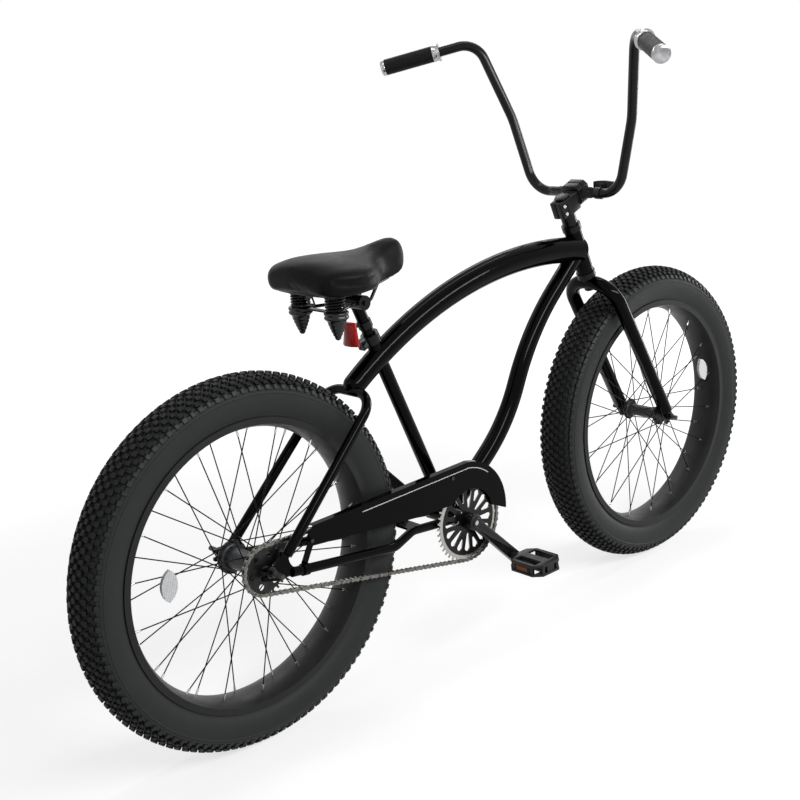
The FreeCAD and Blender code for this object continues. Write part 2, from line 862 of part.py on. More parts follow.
# Dropouts: thick plates at the stays' feet, with a slot open to the rear for the axle
slot_half = s.axle_radius + s.dropout_slot_clearance
dropout_outline = [
    (-s.dropout_rear, -s.dropout_rear_half),
    (s.dropout_slot_front, -s.dropout_front_low),
    (s.dropout_front_run, -s.dropout_front_low),
    (s.dropout_front_run, -s.dropout_front_high),
    (s.dropout_top_run, s.dropout_top_rise, -s.dropout_front_high),
    (s.seat_stay_foot_run - s.stay_radius, s.dropout_top_rise),
    (-s.dropout_rear, s.dropout_rear_half, -s.dropout_front_high),
]
slot_end = s.dropout_slot_front - slot_half
slot_outline = [
    (-(s.dropout_rear + s.cut_overrun), -slot_half),
    (slot_end, -slot_half),
    (slot_end, slot_half),
    (-(s.dropout_rear + s.cut_overrun), slot_half),
]
right_dropout = plate("right_dropout", s.dropout_thickness, [dropout_outline])
pocket(right_dropout, "slot", [slot_outline])
pocket(right_dropout, "slot_end", circles=[(slot_end, 0, slot_half)])
put(right_dropout, rear_axle - Y_AXIS * s.rear_dropout_half.value)
left_dropout = mirrored("left_dropout", right_dropout)
dropouts = [right_dropout, left_dropout]

# Seat stays: bent tubes from the domed end of the top tube, out over the tyre and down to the dropouts
stay_top = top_rear - Vector(s.seat_stay_shoulder_back, 0, s.seat_stay_shoulder_drop)
stay_shoulder = stay_top - Y_AXIS * s.seat_stay_shoulder_half.value
stay_foot = from_rear(s.seat_stay_foot_run, -s.seat_stay_half, s.seat_stay_foot_rise)
stay_wire = bent_wire([stay_foot, stay_shoulder, stay_top], [s.seat_stay_bend])
stay_outer, stay_bore = tube("right_seat_stay", stay_wire, s.stay_radius, s.tube_metal)
right_seat_stay = cut("right_seat_stay", stay_outer, stay_bore, top_core, right_dropout)
node(gathered("seat_stays", [right_seat_stay, mirrored("left_seat_stay", right_seat_stay)]))

# Chain stays: tubes that bend round the tyre from the bottom bracket to the dropouts, and the drilled
# plate that ties them together ahead of the tyre
chain_root = bracket - Y_AXIS * s.chain_stay_root_half.value
chain_knee = from_rear(s.chain_stay_knee_run, -s.chain_stay_knee_half, -s.chain_stay_knee_drop)
chain_waist = from_rear(s.chain_stay_waist_run, -s.chain_stay_waist_half, -s.chain_stay_waist_drop)
chain_foot = from_rear(s.chain_stay_foot_run, -s.chain_stay_half, -s.chain_stay_foot_drop)
chain_stay_wire = bent_wire([chain_foot, chain_waist, chain_knee, chain_root], [s.chain_stay_bend] * 2)
chain_stay_outer, chain_stay_bore = tube(
    "right_chain_stay", chain_stay_wire, s.chain_stay_radius, s.tube_metal)
right_chain_stay = cut("right_chain_stay", chain_stay_outer, chain_stay_bore, shell_core, right_dropout)
left_chain_stay = mirrored("left_chain_stay", right_chain_stay)
bridge_centre = from_rear(s.bridge_run, 0, -s.chain_stay_knee_drop)
bridge_box = add("Part::Box", "bridge_box", Length=s.bridge_length, Width=s.chain_stay_knee_half * 2,
                 Height=s.bridge_thickness)
bridge_box.Placement.Base = bridge_centre - Vector(
    s.bridge_length / 2, s.chain_stay_knee_half, s.bridge_thickness / 2)
bridge_hole = cylinder("bridge_hole", s.bridge_hole_radius, s.bridge_thickness + s.cut_overrun * 2,
                       bridge_centre - Z_AXIS * (s.bridge_thickness / 2 + s.cut_overrun).value)
left_stay_core = mirrored("left_chain_stay_core", chain_stay_outer)
bridge = cut("stay_bridge", bridge_box, bridge_hole, chain_stay_outer, left_stay_core)
node(gathered("chain_stays", [right_chain_stay, left_chain_stay, bridge]))
node(gathered("rear_dropouts", dropouts))

# Seat clamp: a split collar round the top of the seat tube, with two ears behind and a bolt through them
collar = turned("seat_collar", ring_outline(s.seat_tube_radius, s.seat_clamp_radius, 0, s.seat_clamp_height))
put(collar, seat_top - seat_up * s.seat_clamp_height.value, seat_up, Y_AXIS)
ear_length = s.seat_clamp_radius - s.seat_tube_radius + s.seat_clamp_ear
ear = add("Part::Box", "seat_clamp_ear", Length=ear_length, Width=s.seat_clamp_ear_half * 2,
          Height=s.seat_clamp_height)
ear.Placement = FreeCAD.Placement(
    seat_top - seat_ahead * (s.seat_tube_radius + ear_length).value - Y_AXIS * s.seat_clamp_ear_half.value
    - seat_up * s.seat_clamp_height.value, seat_frame)
clamp_gap = add("Part::Box", "seat_clamp_gap", Length=ear_length + s.cut_overrun * 2, Width=s.seat_slot_width,
                Height=s.seat_clamp_height + s.cut_overrun * 2)
gap_corner = seat_top - Y_AXIS * (s.seat_slot_width.value / 2)
gap_corner -= seat_ahead * (s.seat_tube_radius + ear_length + s.cut_overrun).value
gap_corner -= seat_up * (s.seat_clamp_height + s.cut_overrun).value
clamp_gap.Placement = FreeCAD.Placement(gap_corner, seat_frame)
clamp_bolt_centre = (seat_top - seat_ahead * (s.seat_clamp_radius + s.seat_clamp_ear * ear_bolt_share).value
                     - seat_up * (s.seat_clamp_height.value / 2))
clamp_bolt_hole = cylinder("seat_clamp_bolt_hole", s.seat_clamp_bolt_radius, s.seat_clamp_ear_half * 4,
                           clamp_bolt_centre - Y_AXIS * (s.seat_clamp_ear_half * 2).value, Y_AXIS)
node(cut("seat_clamp", fused("seat_clamp_body", [collar, ear]), seat_core, clamp_gap, clamp_bolt_hole))
clamp_shank = cylinder("seat_clamp_shank", s.seat_clamp_bolt_radius, s.seat_clamp_ear_half * 2,
                       clamp_bolt_centre - Y_AXIS * s.seat_clamp_ear_half.value, Y_AXIS)
clamp_heads = [
    cylinder(f"seat_clamp_head_{name}", s.seat_clamp_bolt_head, s.seat_clamp_bolt_radius * bolt_head_share,
             clamp_bolt_centre + Y_AXIS * (s.seat_clamp_ear_half.value * side), Y_AXIS * side)
    for name, side in (("left", 1), ("right", -1))
]
clamp_bolt = fused("seat_clamp_bolt", [clamp_shank] + clamp_heads)

# Wheels: tyre, tube and rim are turned once and used at both ends
shoulder_radius = s.tyre_radius - s.tyre_shoulder_drop
bead_half = s.rim_half_width - s.rim_flange_wall - s.body_clearance
bead_top = s.bead_radius + s.rim_flange_height + s.body_clearance
inner_shoulder_radius = shoulder_radius - s.tread_wall * inner_shoulder_share
inner_shoulder_half = s.tyre_shoulder_half - s.tyre_wall
inner_crown_drop = s.tyre_radius - s.tread_wall - inner_shoulder_radius
tyre = turned("tyre_pattern", [
    (s.bead_radius, bead_half - s.bead_width, s.tyre_sidewall_bow),
    (s.bead_radius, bead_half),
    (bead_top, bead_half),
    (shoulder_radius, s.tyre_shoulder_half, -s.tyre_sidewall_bow),
    (shoulder_radius, -s.tyre_shoulder_half, -s.tyre_shoulder_drop),
    (bead_top, -bead_half, -s.tyre_sidewall_bow),
    (s.bead_radius, -bead_half),
    (s.bead_radius, -(bead_half - s.bead_width)),
    (inner_shoulder_radius, -inner_shoulder_half, s.tyre_sidewall_bow),
    (inner_shoulder_radius, inner_shoulder_half, inner_crown_drop),
])
tube_low = s.bead_radius + s.tube_lift
tube_high = s.tyre_radius - s.tread_wall - s.tube_room
tube_orbit = (tube_low + tube_high) / 2
tube_size = (tube_high - tube_low) / 2
tube_circles = [(tube_orbit, 0, tube_size), (tube_orbit, 0, tube_size - s.tube_wall)]
tube_ring = turned("tube_ring", circles=tube_circles)
flange_radius = s.bead_radius + s.rim_flange_height
rim_inner_half = s.rim_half_width - s.rim_flange_wall
rim_edge_radius = s.bead_radius - s.rim_edge_depth
well_radius = s.bead_radius - s.rim_well_depth
rim_ring = turned("rim_ring", [
    (rim_edge_radius, s.rim_half_width, -s.rim_crown_bow),
    (flange_radius, s.rim_half_width),
    (flange_radius, rim_inner_half),
    (s.bead_radius, rim_inner_half),
    (s.bead_radius, s.rim_well_half + s.rim_well_slope),
    (well_radius, s.rim_well_half),
    (well_radius, -s.rim_well_half),
    (s.bead_radius, -(s.rim_well_half + s.rim_well_slope)),
    (s.bead_radius, -rim_inner_half),
    (flange_radius, -rim_inner_half),
    (flange_radius, -s.rim_half_width),
    (rim_edge_radius, -s.rim_half_width),
])
valve_way = tilted(s.valve_angle)
valve_root = tube_low + s.tube_wall
valve = cylinder("valve_stem", s.valve_radius, s.valve_length, valve_way * valve_root.value, -valve_way)
valve_hole = cylinder("valve_hole", s.valve_radius + s.valve_clearance, s.valve_length,
                      valve_way * valve_root.value, -valve_way)
tube_hollow = turned("tube_hollow", circles=tube_circles[1:])
inner_tube = cut("inner_tube_pattern", fused("tube_with_valve", [tube_ring, valve]), tube_hollow)
rim = cut("rim_pattern", rim_ring, valve_hole)
rim_bow_radius = bowed_radius((s.rim_half_width, 0), (-s.rim_half_width, 0), s.rim_crown_bow)
rim_bow_depth = (math.sqrt(rim_bow_radius.value ** 2 - s.spoke_row_half.value ** 2)
                 - (rim_bow_radius - s.rim_crown_bow).value)
rim_face = rim_edge_radius.value - rim_bow_depth - s.body_clearance.value


def lace(axle, flange_half, flange_radius):
    """The spokes and nipples of one wheel, by turns on the outside of each flange, bearing on its edge,
    and on its inside, bearing at the hole."""
    spokes = []
    nipples = []
    copies = count(s.spokes_per_flange)
    hole_radius = (flange_radius - s.spoke_hole_inset).value
    beside = (s.flange_thickness / 2 + s.spoke_diameter / 2 + s.spoke_clearance).value
    clear_radius = (flange_radius + s.spoke_diameter / 4).value
    for side in (1, -1):
        for index in range(copies):
            lean = 1 if index % 2 == 0 else -1
            turn = 360 / copies * (index + (side - 1) / 4)
            hole = tilted(turn + lean * s.spoke_cross_angle.value) * hole_radius
            seat = tilted(turn) * rim_face
            flat = seat - hole
            reach = math.sqrt(hole.dot(flat) ** 2 + flat.dot(flat) * (clear_radius ** 2 - hole_radius ** 2))
            on_flange = max(0, lean) * (reach - hole.dot(flat)) / flat.dot(flat)
            row = s.spoke_row_half.value
            rest = (flange_half.value + lean * beside - row * on_flange) / (1 - on_flange)
            hole = axle + hole + Y_AXIS * (side * rest)
            seat = axle + seat + Y_AXIS * (side * row)
            way = (seat - hole).normalize()
            reach = hole.distanceToPoint(seat) - s.nipple_length.value
            spokes.append(Part.makeCylinder(s.spoke_diameter / 2, reach, hole, way))
            foot = seat - way * s.nipple_length.value
            nipples.append(Part.makeCylinder(s.nipple_diameter / 2, s.nipple_length, foot, way))
    return Part.makeCompound(spokes), Part.makeCompound(nipples)


def hub_outline(flange_half, flange_radius, barrel_radius, hub_half, end_radius):
    bore = s.axle_radius + s.hub_running_clearance
    outside = flange_half + s.flange_thickness / 2
    inside = flange_half - s.flange_thickness / 2
    waist = inside - s.hub_fillet
    foot = barrel_radius + s.hub_fillet
    return [
        (bore, -hub_half), (end_radius, -hub_half), (end_radius, -outside),
        (flange_radius, -outside), (flange_radius, -inside), (foot, -inside),
        (barrel_radius, -waist, -s.hub_fillet / 4), (barrel_radius, waist),
        (foot, inside, -s.hub_fillet / 4), (flange_radius, inside), (flange_radius, outside),
        (end_radius, outside), (end_radius, hub_half), (bore, hub_half),
    ]


lens_plate = plate("spoke_lens_pattern", s.reflector_thickness, [[
    (0, -s.reflector_half_length, s.reflector_half_width),
    (0, s.reflector_half_length, s.reflector_half_width),
]])


def lens_seat(spokes, orbit, way):
    """How far to the right the spokes reach behind a lens, which rests on the outermost of them."""
    along = Vector(-way.z, 0, way.x)
    reaches = []
    for spoke in spokes.Solids:
        ends = [face.CenterOfMass for face in spoke.Faces if isinstance(face.Surface, Part.Plane)]
        for step in range(101):
            place = ends[0] + (ends[1] - ends[0]) * (step / 100)
            offset = place - orbit
            length_share = offset.dot(along) / s.reflector_half_length.value
            width_share = offset.dot(way) / s.reflector_half_width.value
            if math.hypot(length_share, width_share) < 1:
                reaches.append(place.y)
    return min(reaches)


def wheel(end, axle, flange_half, flange_radius, hub, lens_orbit, lens_angle):
    node(copy_at(f"{end}_tyre", tyre, axle))
    node(copy_at(f"{end}_inner_tube", inner_tube, axle))
    node(copy_at(f"{end}_rim", rim, axle))
    spokes, nipples = lace(axle, flange_half, flange_radius)
    node(feature(f"{end}_spokes", spokes))
    node(feature(f"{end}_nipples", nipples))
    node(put(hub, axle))
    way = tilted(lens_angle)
    orbit = axle + way * lens_orbit.value
    seat = lens_seat(spokes, orbit, way)
    centre = Vector(orbit.x, seat - s.spoke_diameter.value / 2, orbit.z)
    node(copy_at(f"{end}_wheel_reflector", lens_plate, centre, way, X_AXIS))


front_hub = turned("front_hub", hub_outline(
    s.front_flange_half, s.front_flange_radius, s.front_barrel_radius,
    s.front_hub_half, s.front_hub_end_radius))
rear_hub = turned("rear_hub", hub_outline(
    s.rear_flange_half, s.rear_flange_radius, s.rear_barrel_radius,
    s.rear_hub_half, s.rear_hub_end_radius))
wheel("front", front_axle, s.front_flange_half, s.front_flange_radius, front_hub,
      s.front_lens_orbit, s.front_lens_angle)
wheel("rear", rear_axle, s.rear_flange_half, s.rear_flange_radius, rear_hub,
      s.rear_lens_orbit, s.rear_lens_angle)


def axle_outline(dropout_half, hub_half):
    """A shaft with a locknut at each side, from just outside the hub to the inside of the dropout."""
    end = dropout_half + s.axle_overhang
    inside = hub_half + s.body_clearance
    return [
        (0, -end), (s.axle_radius, -end), (s.axle_radius, -dropout_half), (s.locknut_radius, -dropout_half),
        (s.locknut_radius, -inside), (s.axle_radius, -inside), (s.axle_radius, inside),
        (s.locknut_radius, inside), (s.locknut_radius, dropout_half), (s.axle_radius, dropout_half),
        (s.axle_radius, end), (0, end),
    ]


def axle_nuts(end, axle, seat):
    """A washer and a hexagon nut on each end of an axle, from the place that they bear on."""
    pieces = []
    for name, side in (("left", 1), ("right", -1)):
        way = Y_AXIS * side
        face = axle + way * float(seat)
        start = face - way * s.cut_overrun.value
        bore = cylinder(f"{end}_{name}_nut_bore", s.axle_radius, s.axle_overhang * 2, start, way)
        washer = cylinder(f"{end}_{name}_washer_disc", s.washer_radius, s.washer_thickness, face, way)
        nut = add("Part::Prism", f"{end}_{name}_nut_prism", Polygon=6, Height=s.axle_nut_height,
                  Circumradius=s.axle_nut_span / math.sqrt(3))
        put(nut, face + way * s.washer_thickness.value, way)
        pieces.append(cut(f"{end}_{name}_washer", washer, bore))
        pieces.append(cut(f"{end}_{name}_nut", nut, bore))
    return gathered(f"{end}_axle_nuts", pieces)


front_shaft = turned("front_axle", axle_outline(s.front_dropout_half, s.front_hub_half))
node(put(front_shaft, front_axle))
node(axle_nuts("front", front_axle, s.front_dropout_half + s.tip_thickness))

# Rear axle: as the front one, with the sprocket's driver running on it at the right
driver_inner = s.rear_hub_half + s.body_clearance
driver_outer = s.chain_line + s.toothed_thickness / 2
rear_end = s.rear_dropout_half + s.rear_axle_overhang
rear_shaft = turned("rear_axle", [
    (0, -rear_end), (s.axle_radius, -rear_end), (s.axle_radius, -s.rear_dropout_half),
    (s.locknut_radius, -s.rear_dropout_half), (s.locknut_radius, -(driver_outer + s.body_clearance)),
    (s.axle_radius, -(driver_outer + s.body_clearance)), (s.axle_radius, driver_inner),
    (s.locknut_radius, driver_inner), (s.locknut_radius, s.rear_dropout_half - s.brake_arm_thickness),
    (s.axle_radius, s.rear_dropout_half - s.brake_arm_thickness), (s.axle_radius, rear_end), (0, rear_end),
])
node(put(rear_shaft, rear_axle))
node(axle_nuts("rear", rear_axle, s.rear_dropout_half + s.dropout_thickness))

# Chain loop: the middle of every pin, along the top of the chainring, its front, the lower run, the
# back of the sprocket and the upper run
toward = (bracket - rear_axle).normalize()
upward = Vector(-toward.z, 0, toward.x)
lean, run, on_ring, on_sprocket = pitches_for(span)
high_way = upward * math.cos(lean) - toward * math.sin(lean)
low_way = upward * -math.cos(lean) - toward * math.sin(lean)


def clockwise(way, turn):
    return way * math.cos(turn) + Vector(way.z, 0, -way.x) * math.sin(turn)


def chain_point(place):
    if place < on_ring:
        return bracket + clockwise(high_way, place * 2 * math.pi / s.chainring_teeth.value) * ring_radius
    place -= on_ring
    if place < run:
        start = bracket + low_way * ring_radius
        return start + (rear_axle + low_way * sprocket_radius - start) * (place / run)
    place -= run
    if place < on_sprocket:
        return rear_axle + clockwise(low_way, place * 2 * math.pi / s.sprocket_teeth.value) * sprocket_radius
    place -= on_sprocket
    start = rear_axle + high_way * sprocket_radius
    return start + (bracket + high_way * ring_radius - start) * (place / run)


chain_side = Y_AXIS * -s.chain_line.value
pins = [chain_point(index + 0.5) + chain_side for index in range(count(s.chain_pitches))]
ring_valley = clockwise(high_way, math.pi / s.chainring_teeth.value)
sprocket_place = math.ceil(on_ring + run) + 0.5 - on_ring - run
sprocket_valley = clockwise(low_way, sprocket_place * 2 * math.pi / s.sprocket_teeth.value)


def link_plate(inner, thickness):
    """One side plate of a link: round ends and drawn-in flanks, on the far side of a given place."""
    half = s.chain_pitch.value / 2
    radius = s.plate_radius.value
    waist = s.plate_waist.value
    corners = [Vector(sx * half, 0, sz * radius) for sx, sz in ((-1, -1), (1, -1), (1, 1), (-1, 1))]
    face = Part.Face(Part.Wire([
        Part.Arc(corners[0], Vector(0, 0, -waist), corners[1]).toShape(),
        Part.Arc(corners[1], Vector(half + radius, 0, 0), corners[2]).toShape(),
        Part.Arc(corners[2], Vector(0, 0, waist), corners[3]).toShape(),
        Part.Arc(corners[3], Vector(-half - radius, 0, 0), corners[0]).toShape(),
    ]))
    face.translate(Y_AXIS * inner)
    return face.extrude(Y_AXIS * thickness)


def link_bars(radius, half_width):
    side = Y_AXIS * half_width
    places = [X_AXIS * (s.chain_pitch.value / 2 * end) for end in (-1, 1)]
    return [Part.makeCylinder(radius, half_width * 2, place - side, Y_AXIS) for place in places]


def link_sides(inner):
    thickness = s.plate_thickness.value
    return [link_plate(inner, thickness), link_plate(-inner - thickness, thickness)]


inner_half = s.chain_inner_width.value / 2
outer_half = inner_half + (s.plate_thickness + s.link_clearance).value
pin_half = outer_half + (s.plate_thickness + s.pin_overhang).value
roller_sides = link_sides(inner_half)
rollers = link_bars(s.roller_radius.value, inner_half)
inner_link = roller_sides[0].multiFuse(roller_sides[1:] + rollers)
for bore in link_bars((s.pin_radius + s.link_clearance).value, pin_half):
    inner_link = inner_link.cut(bore)
pin_sides = link_sides(outer_half)
outer_link = pin_sides[0].multiFuse(pin_sides[1:] + link_bars(s.pin_radius.value, pin_half))
links = []
for index, (here, there) in enumerate(zip(pins, pins[1:] + pins[:1])):
    link = (inner_link if index % 2 == 0 else outer_link).Solids[0].copy()
    link.Placement = turned_to((here + there) * 0.5, there - here, X_AXIS)
    links.append(link)
node(feature("chain", Part.makeCompound(links)))


def toothed(label, radius, teeth, bore):
    """A disc with a roller seat cut at every tooth gap, the first of them on its own X axis."""
    tip = radius + s.tooth_height
    seat = s.roller_radius + s.tooth_clearance
    body = plate(label, s.toothed_thickness, circles=[(0, 0, tip), (0, 0, bore)])
    gap = pocket(body, "gap", [[
        (tip + s.cut_overrun, -s.tooth_flank_half),
        (radius + seat * seat_rise_share, -seat * seat_side_share),
        (radius + seat * seat_rise_share, seat * seat_side_share, -seat * (1 + seat_rise_share)),
        (tip + s.cut_overrun, s.tooth_flank_half),
    ]])
    around(body, gap, teeth)
    return body


def drop_slot(inner):
    """A slot that widens outwards, with a round end at either side."""
    return [
        (inner, -s.slot_inner_half, s.slot_inner_half * round_share),
        (s.slot_outer - s.slot_outer_half, -s.slot_outer_half),
        (s.slot_outer - s.slot_outer_half, s.slot_outer_half, s.slot_outer_half * round_share),
        (inner, s.slot_inner_half),
    ]


# Chainring: teeth for the chain, and long and short slots by turns between its rim and its middle
toothed_inner = s.chain_line - s.toothed_thickness / 2
toothed_outer = s.chain_line + s.toothed_thickness / 2
chainring = node(toothed("chainring", ring_size, s.chainring_teeth, s.chainring_bore))
around(chainring, pocket(chainring, "long_slot", [drop_slot(s.long_slot_inner)]), s.slot_pairs)
short_slot = pocket(chainring, "short_slot", [drop_slot(s.short_slot_inner)], turn=s.slot_pairs)
around(chainring, short_slot, s.slot_pairs)
put(chainring, bracket - Y_AXIS * toothed_inner.value, ring_valley, X_AXIS)

# Rear sprocket: a toothed disc with round windows, on the driver that runs on the axle
driver_bore = s.axle_radius + s.hub_running_clearance
toothed_disc = toothed("sprocket_disc", sprocket_size, s.sprocket_teeth, driver_bore)
window = pocket(toothed_disc, "window", circles=[(s.sprocket_window_orbit, 0, s.sprocket_window_radius)])
around(toothed_disc, window, s.sprocket_windows)
put(toothed_disc, rear_axle - Y_AXIS * toothed_inner.value, sprocket_valley, X_AXIS)
driver = turned("driver_sleeve", ring_outline(driver_bore, s.driver_radius, -toothed_inner, -driver_inner))
node(fused("rear_sprocket", [toothed_disc, put(driver, rear_axle)]))

# Spindle: one shaft through both cups, with a bolt in each end
bolt_end = s.spindle_half + s.crank_bolt_height
node(put(turned("crank_spindle", [
    (0, -bolt_end), (s.crank_bolt_radius, -bolt_end), (s.crank_bolt_radius, -s.spindle_half),
    (s.spindle_radius, -s.spindle_half), (s.spindle_radius, s.spindle_half),
    (s.crank_bolt_radius, s.spindle_half), (s.crank_bolt_radius, bolt_end), (0, bolt_end),
]), bracket))

# Cranks: a tapering arm with a boss at the spindle; the right boss carries the chainring on a spigot
crank_way = tilted(s.crank_angle)
crank_outer = s.crank_inner + s.crank_thickness
crank_outline = [
    (0, -s.crank_arm_half, s.crank_arm_half * round_share),
    (s.crank_length, -s.crank_tip_radius),
    (s.crank_length, s.crank_tip_radius, s.crank_tip_radius * round_share),
    (0, s.crank_arm_half),
]
crank_bores = [(0, 0, s.spindle_radius), (s.crank_length, 0, s.pedal_axle_radius)]
right_arm = plate("right_crank_arm", s.crank_thickness, [crank_outline], crank_bores)
put(right_arm, bracket - Y_AXIS * s.crank_inner.value, crank_way, X_AXIS)
right_boss = turned("right_crank_boss", [
    (s.spindle_radius, -crank_outer), (s.crank_boss_radius, -crank_outer),
    (s.crank_boss_radius, -toothed_outer), (s.chainring_bore, -toothed_outer),
    (s.chainring_bore, -toothed_inner), (s.spindle_radius, -toothed_inner),
])
node(fused("crank_right", [right_arm, put(right_boss, bracket)]))
left_arm = plate("left_crank_arm", s.crank_thickness, [crank_outline], crank_bores)
put(left_arm, bracket + Y_AXIS * crank_outer.value, -crank_way, X_AXIS)
left_boss = turned("left_crank_boss", ring_outline(
    s.spindle_radius, s.crank_boss_radius, toothed_outer, crank_outer))
node(fused("crank_left", [left_arm, put(left_boss, bracket)]))

# Pedal axles: screwed through each crank's tip, with a collar between the crank and the pedal
pedal_start = s.crank_thickness + s.pedal_gap
pedal_axle_end = pedal_start + s.pedal_width - s.pedal_rail
collar_end = pedal_start - s.body_clearance
pedal_axle_outline = [
    (0, 0), (s.pedal_axle_radius, 0), (s.pedal_axle_radius, s.crank_thickness),
    (s.pedal_collar_radius, s.crank_thickness), (s.pedal_collar_radius, collar_end),
    (s.pedal_axle_radius, collar_end), (s.pedal_axle_radius, pedal_axle_end), (0, pedal_axle_end),
]
pedal_roots = {}
pedal_axles = []
for name, side, way in (("right", -1, crank_way), ("left", 1, -crank_way)):
    root = bracket + way * s.crank_length.value + Y_AXIS * (s.crank_inner.value * side)
    pedal_roots[name] = root
    pedal_axles.append(put(turned(f"{name}_pedal_axle", pedal_axle_outline), root, Y_AXIS * side, Y_AXIS))
node(gathered("pedal_axles", pedal_axles))

# Pedals: a block with cut corners and two windows, bored from its inner end, with a lens let into
# the front and the back
cage = s.pedal_half_length - s.pedal_rail
pedal_half_width = s.pedal_width / 2
pedal_outline = [
    (-s.pedal_half_length, -(pedal_half_width - s.pedal_corner)),
    (-(s.pedal_half_length - s.pedal_corner), -pedal_half_width),
    (s.pedal_half_length - s.pedal_corner, -pedal_half_width),
    (s.pedal_half_length, -(pedal_half_width - s.pedal_corner)),
    (s.pedal_half_length, pedal_half_width - s.pedal_corner),
    (s.pedal_half_length - s.pedal_corner, pedal_half_width),
    (-(s.pedal_half_length - s.pedal_corner), pedal_half_width),
    (-s.pedal_half_length, pedal_half_width - s.pedal_corner),
]
window_half = pedal_half_width - s.pedal_corner
for name, side in (("right", -1), ("left", 1)):
    root = pedal_roots[name]
    centre = root + Y_AXIS * ((pedal_start + pedal_half_width).value * side)
    block = plate(f"{name}_pedal_block", s.pedal_half_height * 2, [pedal_outline], role="XY_Plane")
    for end in (-1, 1):
        pocket(block, "rear_window" if end < 0 else "front_window", [[
            (s.pedal_barrel_half * end, -window_half), (cage * end, -window_half),
            (cage * end, window_half), (s.pedal_barrel_half * end, window_half),
        ]], role="XY_Plane")
    put(block, centre - Z_AXIS * s.pedal_half_height.value)
    bore = cylinder(f"{name}_pedal_bore", s.pedal_axle_radius + s.pedal_axle_clearance,
                    pedal_axle_end + s.body_clearance, root, Y_AXIS * side)
    lenses = []
    for end in (-1, 1):
        label = f"{name}_pedal_lens_{'rear' if end < 0 else 'front'}"
        lens = add("Part::Box", label, Length=s.pedal_lens_depth, Width=s.pedal_lens_half * 2,
                   Height=s.pedal_lens_half_height * 2)
        inward = s.pedal_half_length if end < 0 else s.pedal_lens_depth - s.pedal_half_length
        put(lens, centre - Vector(inward, s.pedal_lens_half, s.pedal_lens_half_height))
        lenses.append(lens)
    node(gathered(f"pedal_{name}", [cut(f"{name}_pedal_body", block, bore, *lenses)] + lenses))

# Chain guard: a sheet with its top and front edges turned in over the chain, cut round the chainring
guard_outline = [
    (-s.guard_rear_run, s.guard_rear_low),
    (-s.guard_lower_run, s.guard_lower_rise),
    (-s.guard_window_rear, s.guard_lower_rise),
    (s.guard_window_front, s.guard_window_rise, -s.guard_window_bow),
    (s.guard_tip_run, -s.guard_tip_drop),
    (s.guard_top_run, s.guard_top_rise, s.guard_front_bow),
    (-(s.guard_rear_run - s.guard_rear_step), s.guard_rear_top),
    (-s.guard_rear_run, s.guard_rear_top - s.guard_rear_step),
]
guard_root = bracket - Y_AXIS * (s.guard_inner - s.guard_lip).value
guard_block = put(plate("guard_block", s.guard_lip + s.guard_sheet, [guard_outline]), guard_root)
guard_space = put(plate("guard_space", s.guard_lip, [[
    (-(s.guard_rear_run + s.cut_overrun), -(s.guard_tip_drop + s.cut_overrun * 2)),
    (s.guard_tip_run - s.guard_sheet, -(s.guard_tip_drop + s.cut_overrun * 2)),
    (s.guard_top_run, s.guard_top_rise - s.guard_sheet, s.guard_front_bow),
    (-(s.guard_rear_run + s.cut_overrun), s.guard_rear_top - s.guard_sheet),
]]), guard_root)
node(cut("chain_guard", guard_block, guard_space))

# Guard clips: a strut from a band on the right chain stay, and a post from the seat tube
stay_way = (chain_waist - chain_foot).normalize()
band_centre = chain_foot + stay_way * s.guard_band_along.value
band_radius = s.chain_stay_radius + s.guard_strut_thickness
band = turned("guard_band", ring_outline(
    s.chain_stay_radius, band_radius, -s.guard_strut_width / 2, s.guard_strut_width / 2))
put(band, band_centre, stay_way, Y_AXIS)
guard_face = s.guard_inner + s.guard_sheet
strut_head = bracket + Vector(-(s.guard_rear_run - s.guard_screw_inset), -guard_face, s.guard_screw_rise)
strut_foot = Vector(band_centre.x, strut_head.y, band_centre.z)
strut_way = (strut_head - strut_foot).normalize()
strut_length = strut_foot.distanceToPoint(strut_head)
strut_corner = Vector(-s.guard_strut_width / 2, -s.guard_strut_thickness, 0)
strut = Part.makeBox(s.guard_strut_width, s.guard_strut_thickness,
                     strut_length + s.guard_strut_width.value / 2, strut_corner)
strut_plate = feature("guard_strut", strut, strut_foot, strut_way)
strut_clip = cut("guard_rear_clip", fused("guard_strut_band", [band, strut_plate]), chain_stay_outer)
post_foot = bracket + seat_up * s.guard_post_along.value
guard_post = cylinder("guard_post", s.guard_screw_radius, s.guard_inner, post_foot, -Y_AXIS)
node(gathered("chain_guard_clips", [strut_clip, cut("guard_front_clip", guard_post, seat_core)]))

# Frame bolts: the seat clamp's bolt and the guard's two screws
screw_rear = cylinder("guard_rear_screw", s.guard_screw_radius, s.guard_screw_height,
                      strut_head - Y_AXIS * s.guard_strut_thickness.value, -Y_AXIS)
screw_front = cylinder("guard_front_screw", s.guard_screw_radius, s.guard_screw_height,
                       post_foot - Y_AXIS * guard_face.value, -Y_AXIS)
node(gathered("frame_bolts", [clamp_bolt, screw_rear, screw_front]))

